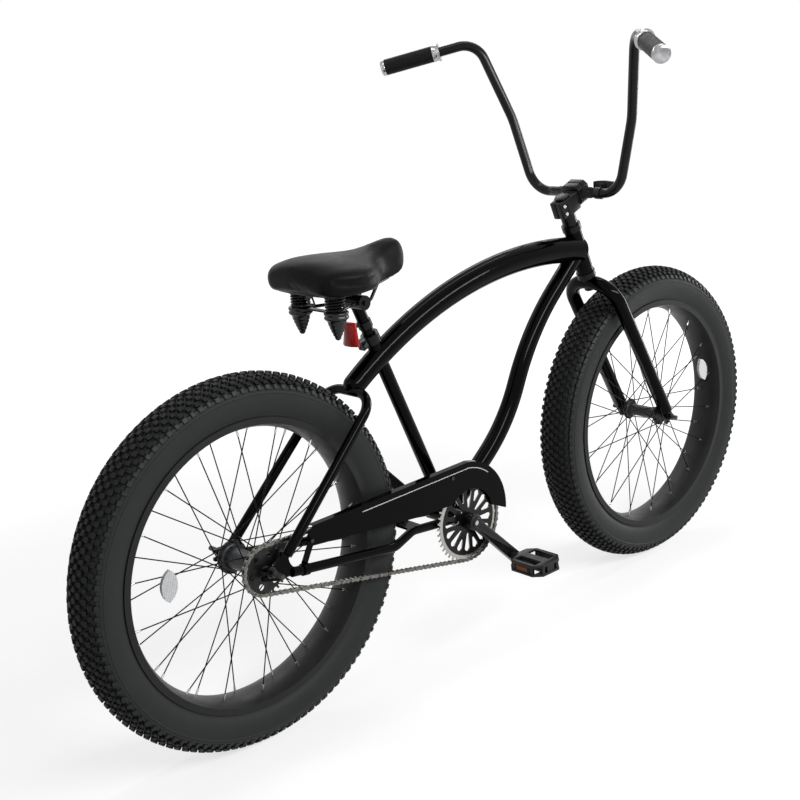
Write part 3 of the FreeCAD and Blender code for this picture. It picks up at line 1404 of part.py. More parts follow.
# Brake arm: from the rear axle's left end to a band on the left chain stay, which holds it from turning
left_way = Vector(stay_way.x, -stay_way.y, stay_way.z)
arm_centre = Vector(chain_foot.x, -chain_foot.y, chain_foot.z) + left_way * s.brake_arm_along.value
arm_side = arm_centre.y - (s.chain_stay_radius + s.brake_clip_wall + s.body_clearance).value
arm_root = Vector(rear_axle.x, arm_side, rear_axle.z)
arm_tip = Vector(arm_centre.x, arm_side, arm_centre.z)
arm_length = arm_root.distanceToPoint(arm_tip)
arm_half = s.brake_arm_half.value
arm_ends = [Part.makeCylinder(arm_half * 2, s.brake_arm_thickness, Vector(), -Y_AXIS)]
arm_ends.append(Part.makeCylinder(arm_half, s.brake_arm_thickness, X_AXIS * arm_length, -Y_AXIS))
arm_bar = Part.makeBox(arm_length, s.brake_arm_thickness, arm_half * 2)
arm_bar.translate(Vector(0, -s.brake_arm_thickness, -arm_half))
arm_shape = arm_ends[0].multiFuse([arm_ends[1], arm_bar])
arm_shape = arm_shape.cut(Part.makeCylinder(s.locknut_radius, s.brake_arm_thickness, Vector(), -Y_AXIS))
arm_plate = feature("brake_arm_plate", arm_shape, arm_root, arm_tip - arm_root, X_AXIS)
clip_radius = s.chain_stay_radius + s.brake_clip_wall
arm_band = turned("brake_band", ring_outline(
    s.chain_stay_radius, clip_radius, -s.brake_clip_width / 2, s.brake_clip_width / 2))
put(arm_band, arm_centre, left_way, Y_AXIS)
arm_bolt = cylinder("brake_bolt", s.guard_screw_radius, s.brake_arm_thickness * 2 + s.chain_stay_radius,
                    arm_tip - Y_AXIS * (s.brake_arm_thickness * 2).value, Y_AXIS)
node(cut("brake_arm", fused("brake_arm_body", [arm_plate, arm_band, arm_bolt]), left_stay_core))

# Fork: one tube bent into an arch over the tyre, with a slotted tip at the foot of each leg
steer_frame = FreeCAD.Rotation(steer_ahead, Y_AXIS, steer_up, "ZXY")
stem_top = s.stem_lift + s.stem_height
steerer_core = cylinder("steerer_core", s.steerer_radius, stem_top + s.steerer_tail,
                        on_steerer(-s.steerer_tail), steer_up)
legs = {}
for side in (-1, 1):
    shoulder = on_steerer(-s.crown_drop, 0, s.blade_half.value * side)
    axle_end = front_axle + Y_AXIS * (s.blade_tip_half.value * side)
    foot = axle_end + (shoulder - axle_end).normalize() * s.blade_stop.value
    legs[side] = (foot, shoulder)
arch_wire = bent_wire([legs[-1][0], legs[-1][1], legs[1][1], legs[1][0]], [s.blade_bend] * 2)
arch_outer, arch_bore = tube("fork_arch", arch_wire, s.blade_radius, s.tube_metal)
leg_up = legs[1][1] - legs[1][0]
leg_up = Vector(leg_up.x, 0, leg_up.z).normalize()
tip_half_width = s.blade_radius - s.tube_metal / 2
fork_tip = plate("right_fork_tip", s.tip_thickness, [[
    (-tip_half_width, -s.tip_foot), (tip_half_width, -s.tip_foot),
    (tip_half_width, s.tip_length), (-tip_half_width, s.tip_length),
]])
tip_slot_low = -(s.tip_foot + s.cut_overrun)
pocket(fork_tip, "slot", [[
    (-slot_half, tip_slot_low), (slot_half, tip_slot_low), (slot_half, 0), (-slot_half, 0),
]])
pocket(fork_tip, "slot_end", circles=[(0, 0, slot_half)])
put(fork_tip, front_axle - Y_AXIS * s.front_dropout_half.value, leg_up)
hollow_arch = cut("fork_hollow_arch", arch_outer, arch_bore, steerer_core)
node(fused("fork_blades", [hollow_arch, fork_tip, mirrored("left_fork_tip", fork_tip)]))

# Steerer: the tube from under the arch up through the head tube into the stem
steerer_bore = cylinder("steerer_bore", s.steerer_radius - s.steerer_wall,
                        stem_top + s.steerer_tail + s.cut_overrun * 2,
                        on_steerer(-(s.steerer_tail + s.cut_overrun)), steer_up)
node(cut("steerer_tube", steerer_core, steerer_bore))

# Headset races: a flange and a sleeve running in each cup, and the spacer under the stem
crown_top = s.crown_drop - s.blade_radius
race_depth = s.cup_height - s.body_clearance
lower_race = turned("headset_lower_race", [
    (s.steerer_radius, -crown_top), (s.cup_radius, -crown_top), (s.cup_radius, -s.body_clearance),
    (s.race_radius, -s.body_clearance), (s.race_radius, race_depth), (s.steerer_radius, race_depth),
])
upper_race = turned("headset_upper_race", [
    (s.steerer_radius, -race_depth), (s.race_radius, -race_depth), (s.race_radius, s.body_clearance),
    (s.cup_radius, s.body_clearance), (s.cup_radius, s.race_flange), (s.steerer_radius, s.race_flange),
])
spacer = turned("headset_spacer", ring_outline(
    s.steerer_radius, s.spacer_radius, 0, s.stem_lift - headset_top - s.race_flange))
put(lower_race, on_steerer(0), steer_up, Y_AXIS)
put(upper_race, on_steerer(headset_top), steer_up, Y_AXIS)
put(spacer, on_steerer(headset_top + s.race_flange), steer_up, Y_AXIS)
node(gathered("headset_races", [lower_race, upper_race, spacer]))

# Handlebar: one tall bent tube with a thicker sleeve where the stem grips it
clamp_centre = on_steerer(s.bar_lift, s.stem_reach)
half_bar = [
    (0, s.bar_foot_half, 0),
    (-s.bar_kink_back, s.bar_kink_half, s.bar_kink_rise),
    (-s.bar_top_back, s.bar_top_half, s.bar_top_rise),
    (-s.bar_end_back, s.bar_end_half, s.bar_end_rise),
]
bar_points = {}
for side in (-1, 1):
    bar_points[side] = [clamp_centre + Vector(ahead, out * side, rise) for ahead, out, rise in half_bar]
bar_bends = [s.bar_top_bend, s.bar_kink_bend, s.bar_foot_bend]
bar_wire = bent_wire(bar_points[-1][::-1] + bar_points[1], bar_bends + bar_bends[::-1])
bar_outer, bar_bore = tube("handlebar_tube", bar_wire, s.bar_radius, s.bar_wall)
sleeve = cylinder("bar_sleeve", s.bar_sleeve_radius, s.bar_sleeve_half * 2,
                  clamp_centre - Y_AXIS * s.bar_sleeve_half.value, Y_AXIS)
node(cut("handlebar", fused("handlebar_solid", [bar_outer, sleeve]), bar_bore))

# Stem: a split clamp on the steerer with two pinch bolts behind, a clamp for the bar with cut corners,
# closed by a face plate on four bolts, and a cap on top
ear_front = s.stem_ear_root - s.stem_ear_flare
stem_block = plate("stem_block", s.stem_height, [[
    (-s.stem_back, -s.stem_ear_half), (-s.stem_ear_root, -s.stem_ear_half), (-ear_front, -s.stem_half_width),
    (s.stem_neck, -s.stem_half_width), (s.stem_neck, s.stem_half_width), (-ear_front, s.stem_half_width),
    (-s.stem_ear_root, s.stem_ear_half), (-s.stem_back, s.stem_ear_half),
]], role="XY_Plane")
stem_block.Placement = FreeCAD.Placement(on_steerer(s.stem_lift), steer_frame)
stem_slot = add("Part::Box", "stem_slot", Length=s.stem_back + s.cut_overrun, Width=s.stem_slot,
                Height=s.stem_height + s.cut_overrun * 2)
slot_corner = on_steerer(s.stem_lift - s.cut_overrun, -(s.stem_back + s.cut_overrun), -s.stem_slot / 2)
stem_slot.Placement = FreeCAD.Placement(slot_corner, steer_frame)


def clamp_part(label, start, end):
    """A slice of the bar clamp: its four corners are cut off, seen from the front."""
    half = s.stem_clamp_half
    high = s.stem_clamp_height / 2
    narrow = half - s.stem_clamp_chamfer
    short = high - s.stem_clamp_chamfer
    body = plate(label, end - start, [[
        (-half, -short), (-narrow, -high), (narrow, -high), (half, -short),
        (half, short), (narrow, high), (-narrow, high), (-half, short),
    ]], role="YZ_Plane")
    body.Placement = FreeCAD.Placement(on_steerer(s.bar_lift, start), steer_frame)
    return body


stem_jaw = clamp_part("stem_jaw", s.stem_neck, s.stem_reach - s.stem_split / 2)
face_front = s.stem_reach + s.stem_front_depth
face_block = clamp_part("face_block", s.stem_reach + s.stem_split / 2, face_front)
stem_bolts = []
for high in (-1, 1):
    level = "high" if high > 0 else "low"
    for side in (-1, 1):
        place = on_steerer(s.bar_lift + s.stem_bolt_rise * high, face_front, s.stem_bolt_half * side)
        name = f"stem_bolt_{level}_{'left' if side > 0 else 'right'}"
        shank = cylinder(name + "_shank", s.stem_bolt_radius / 2, s.stem_front_depth * 2, place, -steer_ahead)
        head = cylinder(name + "_head", s.stem_bolt_radius, s.stem_bolt_height, place, steer_ahead)
        stem_bolts.append(fused(name, [shank, head]))
    pinch_lift = s.stem_lift + s.stem_height / 2 + (s.stem_height / 2 - s.stem_pinch_inset) * high
    place = on_steerer(pinch_lift, -s.stem_pinch_back, -s.stem_ear_half)
    name = f"stem_pinch_{level}"
    shank = cylinder(name + "_shank", s.stem_pinch_radius, s.stem_ear_half * 2, place, Y_AXIS)
    head = cylinder(name + "_head", s.stem_pinch_head, s.stem_bolt_height, place, -Y_AXIS)
    stem_bolts.append(fused(name, [shank, head]))
node(cut("stem", fused("stem_body", [stem_block, stem_jaw]), steerer_core, sleeve, stem_slot, *stem_bolts))
node(cut("stem_faceplate", face_block, sleeve, *stem_bolts))
stem_cap = cylinder("stem_cap", s.stem_cap_radius, s.stem_cap_height, on_steerer(stem_top), steer_up)
node(gathered("stem_fittings", stem_bolts + [stem_cap]))

# Grips: a sleeve at each end of the bar, between a flared bright collar and a bright cap over the end
grips = []
grip_trim = []
for name, side in (("right", -1), ("left", 1)):
    end = bar_points[side][3]
    way = (end - bar_points[side][2]).normalize()
    root = end - way * s.grip_length.value
    grip_end = s.grip_length - s.grip_cap_wrap
    grip = turned(f"{name}_grip", [
        (s.bar_radius, 0), (s.grip_radius, 0), (s.grip_radius, grip_end, s.grip_bulge),
        (s.bar_radius, grip_end),
    ])
    grip_collar = turned(f"{name}_grip_collar", [
        (s.bar_radius, -s.collar_length), (s.collar_flange, -s.collar_length),
        (s.collar_flange, s.collar_lip - s.collar_length), (s.collar_radius, -s.collar_sleeve, -s.grip_bulge),
        (s.collar_radius, 0), (s.bar_radius, 0),
    ])
    cap_end = s.grip_length + s.grip_cap_length
    grip_cap = turned(f"{name}_grip_cap", [
        (0, s.grip_length), (s.bar_radius, s.grip_length), (s.bar_radius, grip_end),
        (s.grip_radius, grip_end), (s.grip_radius, cap_end - s.grip_cap_bow), (0, cap_end),
    ])
    for piece in (grip, grip_collar, grip_cap):
        put(piece, root, way, Y_AXIS)
    grips.append(grip)
    grip_trim += [grip_collar, grip_cap]
node(gathered("grips", grips))
node(gathered("grip_chrome", grip_trim))

# Front reflector: a band on the bar to the right of the stem, with an upright tab that carries the
# housing on a screw, and a lens on the housing's front
lamp_centre = clamp_centre - Y_AXIS * s.front_reflector_offset.value
lamp_back = s.bar_radius + s.reflector_clip_wall
lamp_band = turned("front_reflector_band", ring_outline(
    s.bar_radius, lamp_back, -s.reflector_clip_width / 2, s.reflector_clip_width / 2))
tab_height = s.reflector_screw_rise + s.reflector_screw_radius
lamp_tab = add("Part::Box", "front_reflector_tab", Length=s.reflector_clip_wall, Width=s.reflector_clip_width,
               Height=tab_height)
put(lamp_tab, lamp_centre + Vector(s.bar_radius, -s.reflector_clip_width / 2, 0))
bar_core = cylinder("front_reflector_core", s.bar_radius, s.reflector_clip_width + s.cut_overrun * 2,
                    lamp_centre - Y_AXIS * (s.reflector_clip_width / 2 + s.cut_overrun).value, Y_AXIS)
lamp_mount = fused("front_reflector_mount", [put(lamp_band, lamp_centre), lamp_tab])
lamp_clip = cut("front_reflector_clip", lamp_mount, bar_core)


def lamp_outline(inset):
    """A trapezoid, wider at its top, with bowed sides, drawn in by an inset all round."""
    foot = s.front_reflector_foot_half - inset
    top = s.front_reflector_half - inset
    low = inset - s.front_reflector_low
    high = s.front_reflector_high - inset
    bow = s.front_reflector_bow
    return [(foot, low, bow), (top, high, bow), (-top, high, bow), (-foot, low, bow)]


housing = plate("front_reflector_housing", s.front_reflector_depth, [lamp_outline(0)], role="YZ_Plane")
put(housing, lamp_centre + X_AXIS * lamp_back.value)
front_lens = plate("front_lens", s.pedal_lens_depth, [lamp_outline(s.front_reflector_rim)], role="YZ_Plane")
put(front_lens, lamp_centre + X_AXIS * (lamp_back + s.front_reflector_depth).value)
lamp_screw = cylinder("front_reflector_screw", s.reflector_screw_radius, s.reflector_clip_wall,
                      lamp_centre + Vector(s.bar_radius, 0, s.reflector_screw_rise), -X_AXIS)
node(gathered("front_reflector", [lamp_clip, housing, front_lens, lamp_screw]))

# Seat post: a straight tube that slides in the seat tube
post_root = seat_top - seat_up * s.post_inserted.value
post_core = cylinder("post_core", s.post_radius, s.post_inserted + s.post_exposed, post_root, seat_up)
post_bore = cylinder("post_bore", s.post_radius - s.post_wall,
                     s.post_inserted + s.post_exposed + s.cut_overrun * 2,
                     post_root - seat_up * s.cut_overrun.value, seat_up)
node(cut("seat_post", post_core, post_bore))

# Saddle rails: bent rods from under the nose, back through the clamp and out to the spring seats, which
# a flat link ties together
guts_centre = seat_top + seat_up * s.guts_along.value


def from_clamp(run, side, rise):
    return guts_centre + Vector(float(run), float(side), float(rise))


rail_points = [
    from_clamp(s.rail_front_run, -s.rail_nose_half, s.saddle_bottom_rise),
    from_clamp(s.rail_clamp_front, -s.rail_half, 0),
    from_clamp(-s.rail_clamp_rear, -s.rail_half, 0),
    from_clamp(-s.spring_back, -s.spring_half, -s.spring_seat_drop),
]
right_rail = swept("right_rail", bent_wire(rail_points, [s.rail_bend] * 2), s.rail_radius)
left_rail = mirrored("left_rail", right_rail)
seat_plate = cylinder("right_spring_plate", s.spring_radius + s.spring_wire, s.rail_radius, rail_points[3])
rail_link = add("Part::Box", "rail_link", Length=s.rail_link_width, Width=s.spring_half * 2,
                Height=s.rail_radius)
put(rail_link, rail_points[3] - X_AXIS * (s.rail_link_width.value / 2))
spring_plates = [seat_plate, mirrored("left_spring_plate", seat_plate)]
node(fused("saddle_rails", [right_rail, left_rail, rail_link] + spring_plates))

# Saddle clamp: a serrated drum across the top of the post, with the rails held in its ends
guts = cylinder("guts_drum", s.guts_radius, s.guts_half * 2, guts_centre - Y_AXIS * s.guts_half.value, Y_AXIS)
guts_bolt = cylinder("guts_bolt", s.guts_bolt_radius, (s.guts_half + s.guts_bolt_height) * 2,
                     guts_centre - Y_AXIS * (s.guts_half + s.guts_bolt_height).value, Y_AXIS)
node(cut("saddle_clamp", fused("guts_solid", [guts, guts_bolt]), post_core, right_rail, left_rail))

# Saddle springs: a coil at each side between the rail's plate and the base, in the cup of a rubber boot
coil_low = rail_points[3].z + (s.rail_radius + s.spring_wire + s.spring_gap).value
coil_high = from_clamp(0, 0, s.saddle_bottom_rise).z - (s.spring_wire + s.spring_gap).value
quarters = count(s.spring_turns) * 4
coil_marks = 12
coil_points = []
for step in range(quarters * 2 + 1):
    turn = math.pi / 4 * step
    coil_points.append(Vector(s.spring_radius.value * math.cos(turn), s.spring_radius.value * math.sin(turn),
                              (coil_high - coil_low) / (quarters * 2) * step))
coil_edges = []
for first, middle, last in zip(coil_points[0::2], coil_points[1::2], coil_points[2::2]):
    coil_edges.append(Part.Arc(first, middle, last).toShape())
coil_wire = Part.Wire(coil_edges)
coil_head = coil_edges[0].tangentAt(coil_edges[0].FirstParameter)
coil_start = Part.Wire([Part.makeCircle(s.spring_wire, coil_points[0], coil_head)])
coil = coil_wire.makePipeShell([coil_start], True, True)
marks = coil_wire.discretize(Number=quarters * coil_marks)
half_turn = coil_marks * 2
gaps = []
for index, here in enumerate(marks):
    gaps += [here.distanceToPoint(there) for there in marks[index + half_turn:]]
print("least gap between coils", round(min(gaps) - s.spring_wire.value * 2, 2))
coil_base = Vector(rail_points[3].x, rail_points[3].y, coil_low)
right_spring = feature("right_spring", coil, coil_base)
node(gathered("saddle_springs", [right_spring, mirrored("left_spring", right_spring)]))
boot_tip = s.boot_tip_radius
cup_inner = s.boot_top_radius - s.boot_cup_wall
right_boot = turned("right_spring_boot", [
    (0, -s.boot_length), (boot_tip, boot_tip - s.boot_length, boot_tip * tip_bow_share),
    (s.boot_waist_radius, -s.boot_collar_low), (s.boot_top_radius, -s.boot_collar_low),
    (s.boot_top_radius, 0, s.boot_collar_bow), (s.boot_top_radius, s.boot_cup_height, s.boot_collar_bow),
    (cup_inner, s.boot_cup_height), (cup_inner, 0), (0, 0),
])
put(right_boot, rail_points[3], Z_AXIS, Y_AXIS)
right_boot = cut("right_boot", right_boot, right_rail, rail_link)
node(gathered("spring_boots", [right_boot, mirrored("left_boot", right_boot)]))

# Saddle: a stiff base let into the underside of a padded cover, lofted through cross sections
saddle_low = from_clamp(-s.saddle_rear_back, 0, s.saddle_bottom_rise)


def saddle_section(station):
    """One cross section of the cover: a flat underside, drawn-in sides and a crowned top."""
    along_share, width_share, top_share, low_share = station
    half = s.saddle_half_width.value * width_share
    low = s.saddle_height.value * low_share
    high = s.saddle_height.value * top_share
    waist = low + (high - low) * side_bow_share
    brow = low + (high - low) * brow_share
    base = saddle_low + X_AXIS * (s.saddle_length.value * along_share)

    def at(side, rise):
        return base + Vector(0, half * side, rise)

    return Part.Wire([
        Part.LineSegment(at(-skirt_share, low), at(skirt_share, low)).toShape(),
        Part.Arc(at(skirt_share, low), at(1, waist), at(brow_half_share, brow)).toShape(),
        Part.Arc(at(brow_half_share, brow), at(0, high), at(-brow_half_share, brow)).toShape(),
        Part.Arc(at(-brow_half_share, brow), at(-1, waist), at(-skirt_share, low)).toShape(),
    ])


sections = []
for index, station in enumerate(SADDLE_SHARES):
    sections.append(feature(f"saddle_section_{index}", saddle_section(station)))
cushion = add("Part::Loft", "saddle_cushion", Sections=sections, Solid=True, Ruled=False)
base_plate = plate("saddle_base_plate", s.saddle_base_thickness, [[
    (s.base_rear, -s.base_rear_half, s.base_rear_bow), (s.base_waist, -s.base_rear_half),
    (s.base_front, -s.base_nose_half), (s.base_front, s.base_nose_half), (s.base_waist, s.base_rear_half),
    (s.base_rear, s.base_rear_half),
]], role="XY_Plane")
put(base_plate, saddle_low)
node(cut("saddle_base", base_plate, right_rail, left_rail))
node(cut("saddle_cover", cushion, base_plate, right_rail, left_rail))

# Tail reflector: a red lens in a bracket on a band round the seat post
tail_centre = seat_top + seat_up * s.tail_lamp_lift.value
tail_band_radius = s.post_radius + s.reflector_clip_wall
tail_band = turned("tail_band", ring_outline(
    s.post_radius, tail_band_radius, -s.reflector_clip_width / 2, s.reflector_clip_width / 2))
put(tail_band, tail_centre, seat_up, Y_AXIS)
tail_face = tail_centre - X_AXIS * (s.post_radius + s.tail_lamp_reach).value
arm_size = s.reflector_clip_width / 2
tail_arm = add("Part::Box", "tail_arm", Length=s.post_radius + s.tail_lamp_reach, Width=arm_size,
               Height=arm_size)
put(tail_arm, tail_face - Vector(0, arm_size / 2, arm_size / 2))
back_size = s.tail_lamp_height - s.tail_lamp_depth
tail_back = add("Part::Box", "tail_back", Length=s.reflector_clip_wall, Width=s.tail_lamp_top_half * 2,
                Height=back_size)
put(tail_back, tail_face - Vector(0, s.tail_lamp_top_half, back_size / 2 + s.tail_lamp_drop))
node(cut("rear_reflector_bracket", fused("tail_bracket", [tail_band, tail_arm, tail_back]), post_core))


def tail_section(half, depth, rise):
    """One level of the lens: a flat back, and three faces behind."""
    corners = [(0, half), (tail_side_share, half), (1, half * tail_face_share)]
    corners += [(out, -side) for out, side in corners[::-1]]
    places = [tail_face + Vector(-depth * out, side, rise) for out, side in corners]
    return Part.makePolygon(places + places[:1])


tail_low = -(s.tail_lamp_height / 2 + s.tail_lamp_drop).value
tail_high = (s.tail_lamp_height / 2 - s.tail_lamp_drop).value
tail_levels = [
    feature("tail_foot", tail_section(s.tail_lamp_half.value, s.tail_lamp_depth.value, tail_low)),
    feature("tail_head", tail_section(s.tail_lamp_top_half.value, s.tail_lamp_top_depth.value, tail_high)),
]
node(add("Part::Loft", "rear_reflector", Sections=tail_levels, Solid=True, Ruled=True))

# Checks, then one file for each node
doc.recompute()
for item in doc.Objects:
    if "Invalid" in item.State or "Error" in item.State:
        raise RuntimeError(f"{item.Label} has not been rebuilt: {item.State}")
os.makedirs("parts", exist_ok=True)
for item in NODES:
    shape = item.Shape
    if shape.isNull() or not shape.isValid() or not shape.Solids:
        raise RuntimeError(f"{item.Label} has no sound solid")
    print(item.Label, len(shape.Solids), round(shape.Volume / 1000, 1))
for item in NODES:
    item.Shape.exportStep(f"parts/{item.Label}.step")
print(len(NODES), "nodes written")
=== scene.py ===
import math
import bmesh
import bpy
from mathutils import Matrix, Vector


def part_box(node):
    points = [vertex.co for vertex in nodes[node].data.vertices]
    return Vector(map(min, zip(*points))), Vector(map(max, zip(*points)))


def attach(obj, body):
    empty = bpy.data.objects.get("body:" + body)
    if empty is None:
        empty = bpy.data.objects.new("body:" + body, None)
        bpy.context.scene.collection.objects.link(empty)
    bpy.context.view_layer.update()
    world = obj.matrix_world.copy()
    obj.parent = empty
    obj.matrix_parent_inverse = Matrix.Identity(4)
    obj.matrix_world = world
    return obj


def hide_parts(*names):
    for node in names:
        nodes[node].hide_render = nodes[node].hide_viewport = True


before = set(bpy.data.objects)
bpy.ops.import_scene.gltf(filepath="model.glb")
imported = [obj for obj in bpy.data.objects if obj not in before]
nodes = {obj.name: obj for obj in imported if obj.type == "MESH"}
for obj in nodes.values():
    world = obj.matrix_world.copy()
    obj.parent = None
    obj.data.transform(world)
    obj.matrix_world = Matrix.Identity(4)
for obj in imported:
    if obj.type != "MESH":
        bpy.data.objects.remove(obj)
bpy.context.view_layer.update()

# Frame tubes: bent and welded steel tubes in one coat of gloss black lacquer. The same lacquer is on
# the fork, the chain guard, its clips and the seat post.
LACQUER = (0.0006, 0.0006, 0.0007)
LACQUER_HAZE = (0.0015, 0.0015, 0.0017)


def node_group(name, inputs, outputs):
    """An empty shader group with its sockets, and its input and output nodes."""
    group = bpy.data.node_groups.new(name, "ShaderNodeTree")
    for socket, kind, value in inputs:
        made = group.interface.new_socket(socket, in_out="INPUT", socket_type=kind)
        if value is not None:
            made.default_value = value
    for socket, kind in outputs:
        group.interface.new_socket(socket, in_out="OUTPUT", socket_type=kind)
    entry = group.nodes.new("NodeGroupInput")
    leave = group.nodes.new("NodeGroupOutput")
    return group, entry, leave


def add_node(tree, kind, values=(), **settings):
    made = tree.nodes.new(kind)
    for name, value in settings.items():
        setattr(made, name, value)
    for socket, value in dict(values).items():
        if hasattr(value, "is_output"):
            tree.links.new(value, made.inputs[socket])
        else:
            made.inputs[socket].default_value = value
    return made


def make_surface_marks():
    """Handling marks: a colour that drifts to a second one, an uneven gloss and a fine relief."""
    group, entry, leave = node_group("surface_marks", [
        ("Vector", "NodeSocketVector", None),
        ("Scale", "NodeSocketFloat", 40.0),
        ("Colour", "NodeSocketColor", (0.0, 0.0, 0.0, 1.0)),
        ("Mark Colour", "NodeSocketColor", (0.0, 0.0, 0.0, 1.0)),
        ("Amount", "NodeSocketFloat", 0.5),
        ("Low Roughness", "NodeSocketFloat", 0.2),
        ("High Roughness", "NodeSocketFloat", 0.4),
        ("Relief Scale", "NodeSocketFloat", 400.0),
    ], [("Colour", "NodeSocketColor"), ("Roughness", "NodeSocketFloat"), ("Height", "NodeSocketFloat")])
    drift = add_node(group, "ShaderNodeTexNoise", {
        "Vector": entry.outputs["Vector"], "Scale": entry.outputs["Scale"], "Detail": 4.0, "Roughness": 0.6})
    spread = add_node(group, "ShaderNodeMapRange", {
        "Value": drift.outputs["Fac"], "From Min": 0.42, "From Max": 0.72})
    weight = add_node(group, "ShaderNodeMath", {
        0: spread.outputs["Result"], 1: entry.outputs["Amount"]}, operation="MULTIPLY")
    mixed = add_node(group, "ShaderNodeMix", {
        "Factor": weight.outputs["Value"]}, data_type="RGBA")
    group.links.new(entry.outputs["Colour"], mixed.inputs["A"])
    group.links.new(entry.outputs["Mark Colour"], mixed.inputs["B"])
    gloss = add_node(group, "ShaderNodeMapRange", {
        "Value": drift.outputs["Fac"], "From Min": 0.3, "From Max": 0.7,
        "To Min": entry.outputs["Low Roughness"], "To Max": entry.outputs["High Roughness"]})
    relief = add_node(group, "ShaderNodeTexNoise", {
        "Vector": entry.outputs["Vector"], "Scale": entry.outputs["Relief Scale"], "Detail": 3.0})
    group.links.new(mixed.outputs["Result"], leave.inputs["Colour"])
    group.links.new(gloss.outputs["Result"], leave.inputs["Roughness"])
    group.links.new(relief.outputs["Fac"], leave.inputs["Height"])
    return group


surface_marks = make_surface_marks()


def finish(name, colour, mark_colour, roughness, amount=0.5, scale=40.0, relief_scale=400.0, relief=0.0002,
           metallic=0.0, specular=0.5):
    """A material whose colour, gloss and relief come from the handling marks."""
    material = bpy.data.materials.new(name)
    material.use_nodes = True
    tree = material.node_tree
    shader = tree.nodes["Principled BSDF"]
    shader.inputs["Metallic"].default_value = metallic
    shader.inputs["Specular IOR Level"].default_value = specular
    place = add_node(tree, "ShaderNodeTexCoord")
    marks = add_node(tree, "ShaderNodeGroup", node_tree=surface_marks)
    tree.links.new(place.outputs["Object"], marks.inputs["Vector"])
    values = {"Scale": scale, "Colour": (*colour, 1), "Mark Colour": (*mark_colour, 1), "Amount": amount,
              "Low Roughness": roughness[0], "High Roughness": roughness[1], "Relief Scale": relief_scale}
    for socket, value in values.items():
        marks.inputs[socket].default_value = value
    bump = add_node(tree, "ShaderNodeBump", {
        "Strength": 0.5, "Distance": relief, "Height": marks.outputs["Height"]})
    tree.links.new(marks.outputs["Colour"], shader.inputs["Base Color"])
    tree.links.new(marks.outputs["Roughness"], shader.inputs["Roughness"])
    tree.links.new(bump.outputs["Normal"], shader.inputs["Normal"])
    return material


def dress(material, *names):
    for name in names:
        for place in nodes[name].material_slots:
            place.material = material


def make_piece(name, mesh_source, materials, body, replaced=(), sharp=35.0):
    """Turn a bmesh into an object that rides on a body and stands for the nodes that it replaces."""
    mesh = bpy.data.meshes.new(name)
    bmesh.ops.recalc_face_normals(mesh_source, faces=mesh_source.faces)
    mesh_source.to_mesh(mesh)
    mesh_source.free()
    for material in materials:
        mesh.materials.append(material)
    mesh.shade_smooth()
    mesh.set_sharp_from_angle(angle=math.radians(sharp))
    made = bpy.data.objects.new(name, mesh)
    bpy.context.scene.collection.objects.link(made)
    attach(made, body)
    if replaced:
        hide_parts(*replaced)
    return made


def joined_copy(node):
    """A copy of a node's mesh with its loose triangles joined, so that its round faces shade smoothly."""
    shape = bmesh.new()
    shape.from_mesh(nodes[node].data)
    bmesh.ops.remove_doubles(shape, verts=shape.verts, dist=1e-5)
    return shape


def smooth(material, body, slot, *names):
    for name in names:
        make_piece(f"smooth_{name}", joined_copy(name), [material], body, [name])


lacquer = finish("gloss_black_lacquer", LACQUER, LACQUER_HAZE, (0.07, 0.11), scale=14.0, relief_scale=90.0,
                 relief=0.00002, specular=0.06)
smooth(lacquer, "frame", "black_paint", "head_tube", "top_tube", "down_tube", "seat_tube", "bottom_bracket_shell",
       "chain_stays")

# Seat stays: a left and a right tube that meet under the top tube's end. The wall where they meet is
# taken out, so that they read as one bent tube.
stays = joined_copy("seat_stays")
meeting = [face for face in stays.faces if all(abs(vert.co.y) < 1e-6 for vert in face.verts)]
bmesh.ops.delete(stays, geom=meeting, context="FACES")
make_piece("smooth_seat_stays", stays, [lacquer], "frame", ["seat_stays"])

# Fork, seat post, guard and dropouts: bent tube and pressed sheet steel in the same lacquer. The flat
# sheets keep their own meshes, so that they shade flat.
smooth(lacquer, "steering", "black_paint", "fork_blades")
smooth(lacquer, "seat", "black_paint", "seat_post")
dress(lacquer, "rear_dropouts", "chain_guard", "chain_guard_clips")

# Bearing cups, seat clamp and brake arm: steel fittings with a thinner satin black coat that lets
# some of the metal through where it rubs.
satin_steel = finish("satin_black_steel", (0.003, 0.003, 0.0032), (0.008, 0.008, 0.0084), (0.20, 0.32), scale=30.0,
                     relief_scale=500.0, specular=0.16)
dress(satin_steel, "bearing_cups", "seat_clamp", "brake_arm", "steerer_tube", "headset_races")

# Nipples, spindle and pedal axles: zinc plated steel, slightly grey with thumb marks. The bolts on the
# frame and the axle nuts are black, and the axles are dark with a rolled thread.
zinc = finish("zinc_plated_steel", (0.55, 0.55, 0.54), (0.30, 0.29, 0.27), (0.22, 0.42), scale=70.0,
              relief_scale=900.0, metallic=1.0)
dress(zinc, "front_nipples", "rear_nipples", "crank_spindle", "pedal_axles")
dress(finish("black_oxide_bolts", (0.05, 0.05, 0.052), (0.02, 0.02, 0.02), (0.3, 0.42), scale=90.0,
             relief_scale=900.0, metallic=1.0), "frame_bolts", "front_axle_nuts", "rear_axle_nuts")


